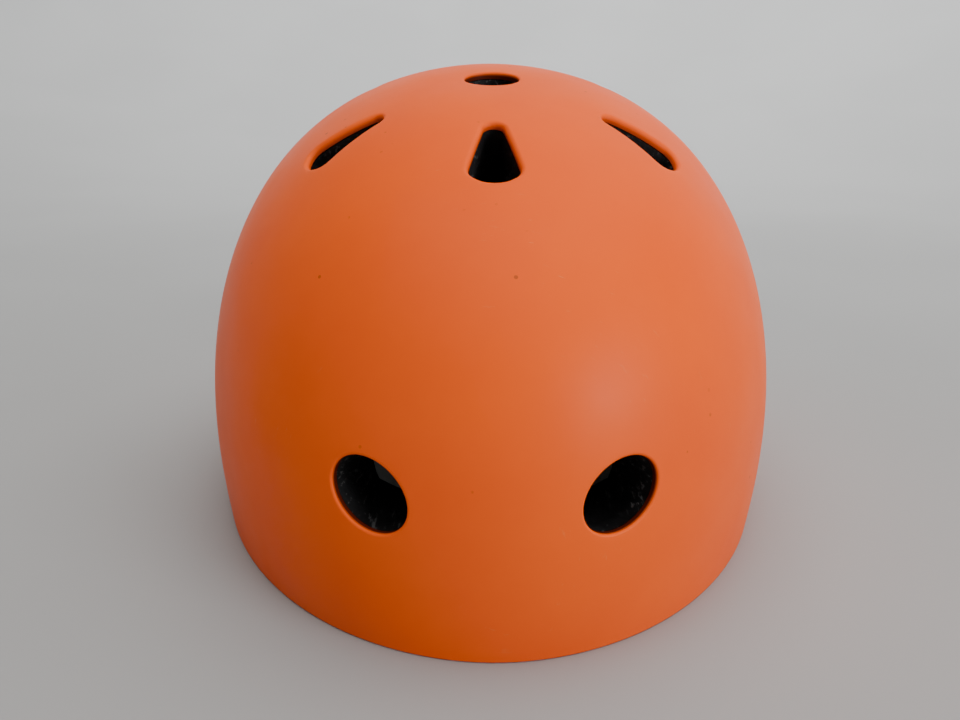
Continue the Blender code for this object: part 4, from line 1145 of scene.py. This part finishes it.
def box_of_stitches(points, halves, wall, start, length, face):
    """Lines of a sewn box with a cross in it on one face of a strap, from a run along it."""
    lengths = np.concatenate([[0], np.cumsum([(b - a).length for a, b in zip(points, points[1:])])])

    def spot(run, across):
        k = min(int(np.searchsorted(lengths, run, side="right")) - 1, len(points) - 2)
        part = (run - lengths[k]) / (lengths[k + 1] - lengths[k])
        point = points[k].lerp(points[k + 1], part)
        half = halves[k].lerp(halves[k + 1], part)
        ahead = (points[k + 1] - points[k]).normalized()
        half = half - ahead * half.dot(ahead)
        return point + half * across + ahead.cross(half).normalized() * wall / 2 * face

    corners = [(start, -0.72), (start, 0.72), (start + length, 0.72), (start + length, -0.72)]
    legs = list(zip(corners, corners[1:] + corners[:1]))
    legs += [(corners[0], corners[2]), (corners[1], corners[3])]
    return [[spot(a[0] + (b[0] - a[0]) * t, a[1] + (b[1] - a[1]) * t) for t in np.linspace(0.03, 0.97, 12)]
            for a, b in legs]


def build_straps(material, thread):
    """The side straps, the chin straps and the free tail, with their sewn boxes."""
    for side_name, side in SIDES.items():
        for end in ANCHOR_ANGLES:
            points, halves = side_route(end, side)
            strap = ribbon(f"webbing_{end}_{side_name}", points, halves, WEB_WALL, material)
            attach(strap, "helmet")
            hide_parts(f"strap_{end}_{side_name}")
            look = skin_of(strap)
            lines = [line for face in (-1, 1)
                     for line in box_of_stitches(points, halves, WEB_WALL, 7 * MM, 10 * MM, face)]
            sewn = stitches(f"stitching_{end}_{side_name}", lines, look, thread, STRAP_STITCH)
            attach(sewn, "helmet")
    across = Vector((0, WEB_WIDTH / 2, 0))
    for node in ("chin_strap_left", "strap_tail", "chin_strap_right"):
        low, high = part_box(node)
        steps = 26
        points = [Vector((low.x + (high.x - low.x) * k / (steps - 1), HARNESS_Y, low.z + WEB_WALL / 2))
                  for k in range(steps)]
        if node == "strap_tail":
            for k, point in enumerate(points):
                point.z += (high.z - low.z - WEB_WALL) * min(1, 2 * k / (steps - 1))
        strap = ribbon(f"{node}_webbing", points, [across] * steps, WEB_WALL, material)
        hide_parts(node)
        if node == "chin_strap_right":
            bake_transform(strap)
        else:
            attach(strap, "helmet")


def build_bands(material):
    """The two halves of the headband, bent round into the housing, with their eyelets."""
    for side_name, side in SIDES.items():
        last = acos(BAND_END[0] / BAND_PIVOT[0])
        reach = (BAND_END[1] - BAND_PIVOT[1]) / sin(last)
        points = [Vector((side * BAND_PIVOT[0] * cos(turn), BAND_PIVOT[1] + reach * sin(turn), BAND_PIVOT[2]))
                  for turn in (last * k / 30 for k in range(31))]
        halves = [Vector((0, 0, BAND_HEIGHT / 2))] * len(points)
        points += [Vector((side * x, BAND_END[1], BAND_PIVOT[2] + side * RACK_OFFSET)) for x in RACK_ENDS]
        halves += [Vector((0, 0, RACK_HEIGHT / 2))] * len(RACK_ENDS)
        band = ribbon(f"fit_band_{side_name}", points, halves, BAND_WALL, material, 7)
        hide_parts(f"headband_{side_name}")
        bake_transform(band)
        eye = (side * BAND_PIVOT[0], BAND_PIVOT[1] - EYE_OFFSET, BAND_PIVOT[2])
        half = [(3.0, -0.6), (3.3, -0.9), (7.1, -0.9), (7.4, -0.6)]
        profile = half + [(r, -h) for r, h in reversed(half)]
        eyelet = turned_ring(f"band_eyelet_{side_name}", profile, eye, material)
        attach(eyelet, "headband")


def turned_ring(name, profile, centre, material, sides=48):
    """A ring about an axis along X: (radius, height) points in mm, turned once round."""
    bm = bmesh.new()
    rings = [[bm.verts.new((centre[0] + h * MM, centre[1] + r * MM * cos(t), centre[2] + r * MM * sin(t)))
              for t in (2 * pi * k / sides for k in range(sides))] for r, h in profile]
    for k in range(len(rings)):
        strip(bm, rings[k - 1], rings[k])
    return new_piece(name, bm, material, 40)


# ---------------- hard parts

def build_fittings(materials):
    """Every other part: its own mesh with flat facets joined, edges rounded and shading evened."""
    widths = {"dial_knob": 0.7 * MM, "buckle_male": 0.35 * MM, "buckle_female": 0.35 * MM,
              "cradle_yoke": 0.5 * MM, "tail_keeper": 0.3 * MM, "dial_housing": 0.4 * MM}
    for row in frame["record"]["subparts"]:
        node, slot = row["node"], row["material_slot"]
        item = frame["nodes"][node]
        if item.hide_render:
            continue
        bm = bmesh.new()
        bm.from_mesh(item.data)
        bmesh.ops.remove_doubles(bm, verts=bm.verts, dist=0.002 * MM)
        bmesh.ops.dissolve_limit(bm, angle_limit=radians(1.5), verts=bm.verts, edges=bm.edges)
        piece = new_piece(f"{node}_finished", bm, materials[slot], 38)
        bevel = piece.modifiers.new("edges", "BEVEL")
        bevel.width = widths.get(node, 0.22 * MM)
        bevel.segments = 3
        bevel.limit_method = "ANGLE"
        bevel.angle_limit = radians(38)
        even = piece.modifiers.new("even", "WEIGHTED_NORMAL")
        even.keep_sharp = True
        applied(piece)
        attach(piece, item["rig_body"])
        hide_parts(node)


def build_floor():
    """A pale plain floor that rises in one sweep into a round backdrop."""
    steps = [(FLOOR_REACH * i / 4, 0) for i in range(5)]
    steps += [(FLOOR_REACH + SWEEP_RADIUS * sin(t), SWEEP_RADIUS * (1 - cos(t)))
              for t in (pi / 2 * i / 16 for i in range(1, 17))]
    steps.append((FLOOR_REACH + SWEEP_RADIUS, BACKDROP_HEIGHT))
    bm = bmesh.new()
    turns = [2 * pi * i / 96 for i in range(96)]
    rings = [ring_of(bm, [(r * cos(t), r * sin(t), z) for t in turns]) for r, z in steps[1:]]
    bm.faces.new(rings[0])
    for low, high in zip(rings, rings[1:]):
        strip(bm, low, high)
    n = Nodes("floor_paper")
    here = n.place()
    colour = n.colours(n.noise(here, 3, 2), (0.4, (0.345, 0.345, 0.34)), (0.6, (0.36, 0.36, 0.355)))
    floor = new_piece("floor", bm, n.done(colour=colour, roughness=0.8, specular=0.2), 89)
    floor.location.z = -0.1 * MM


build_camera()
build_light()
build_floor()
build_shell(shell_material())
build_liner(foam_material())
THREAD = thread_material()
PLASTIC = plastic_material()
SEWN = (pad_material(), binding_material(), THREAD)
for pad_name, (pad_angles, pad_climbs, pad_counts, pad_channels) in PADS.items():
    build_pad(pad_name, dome_spots(pad_angles, pad_climbs), pad_counts, pad_channels, SEWN)
build_pad("cradle_pad", cradle_spots("cradle_pad"), CRADLE_PAD_GRID, (-0.34, 0.34), SEWN,
          body="cradle", back=0.0, share=CRADLE_PAD_SHARE)
build_straps(webbing_material(), THREAD)
build_bands(PLASTIC)
build_fittings({"black_plastic": PLASTIC, "steel": steel_material(), "dial_rubber": rubber_material(),
                "hook_tape": hook_material()})
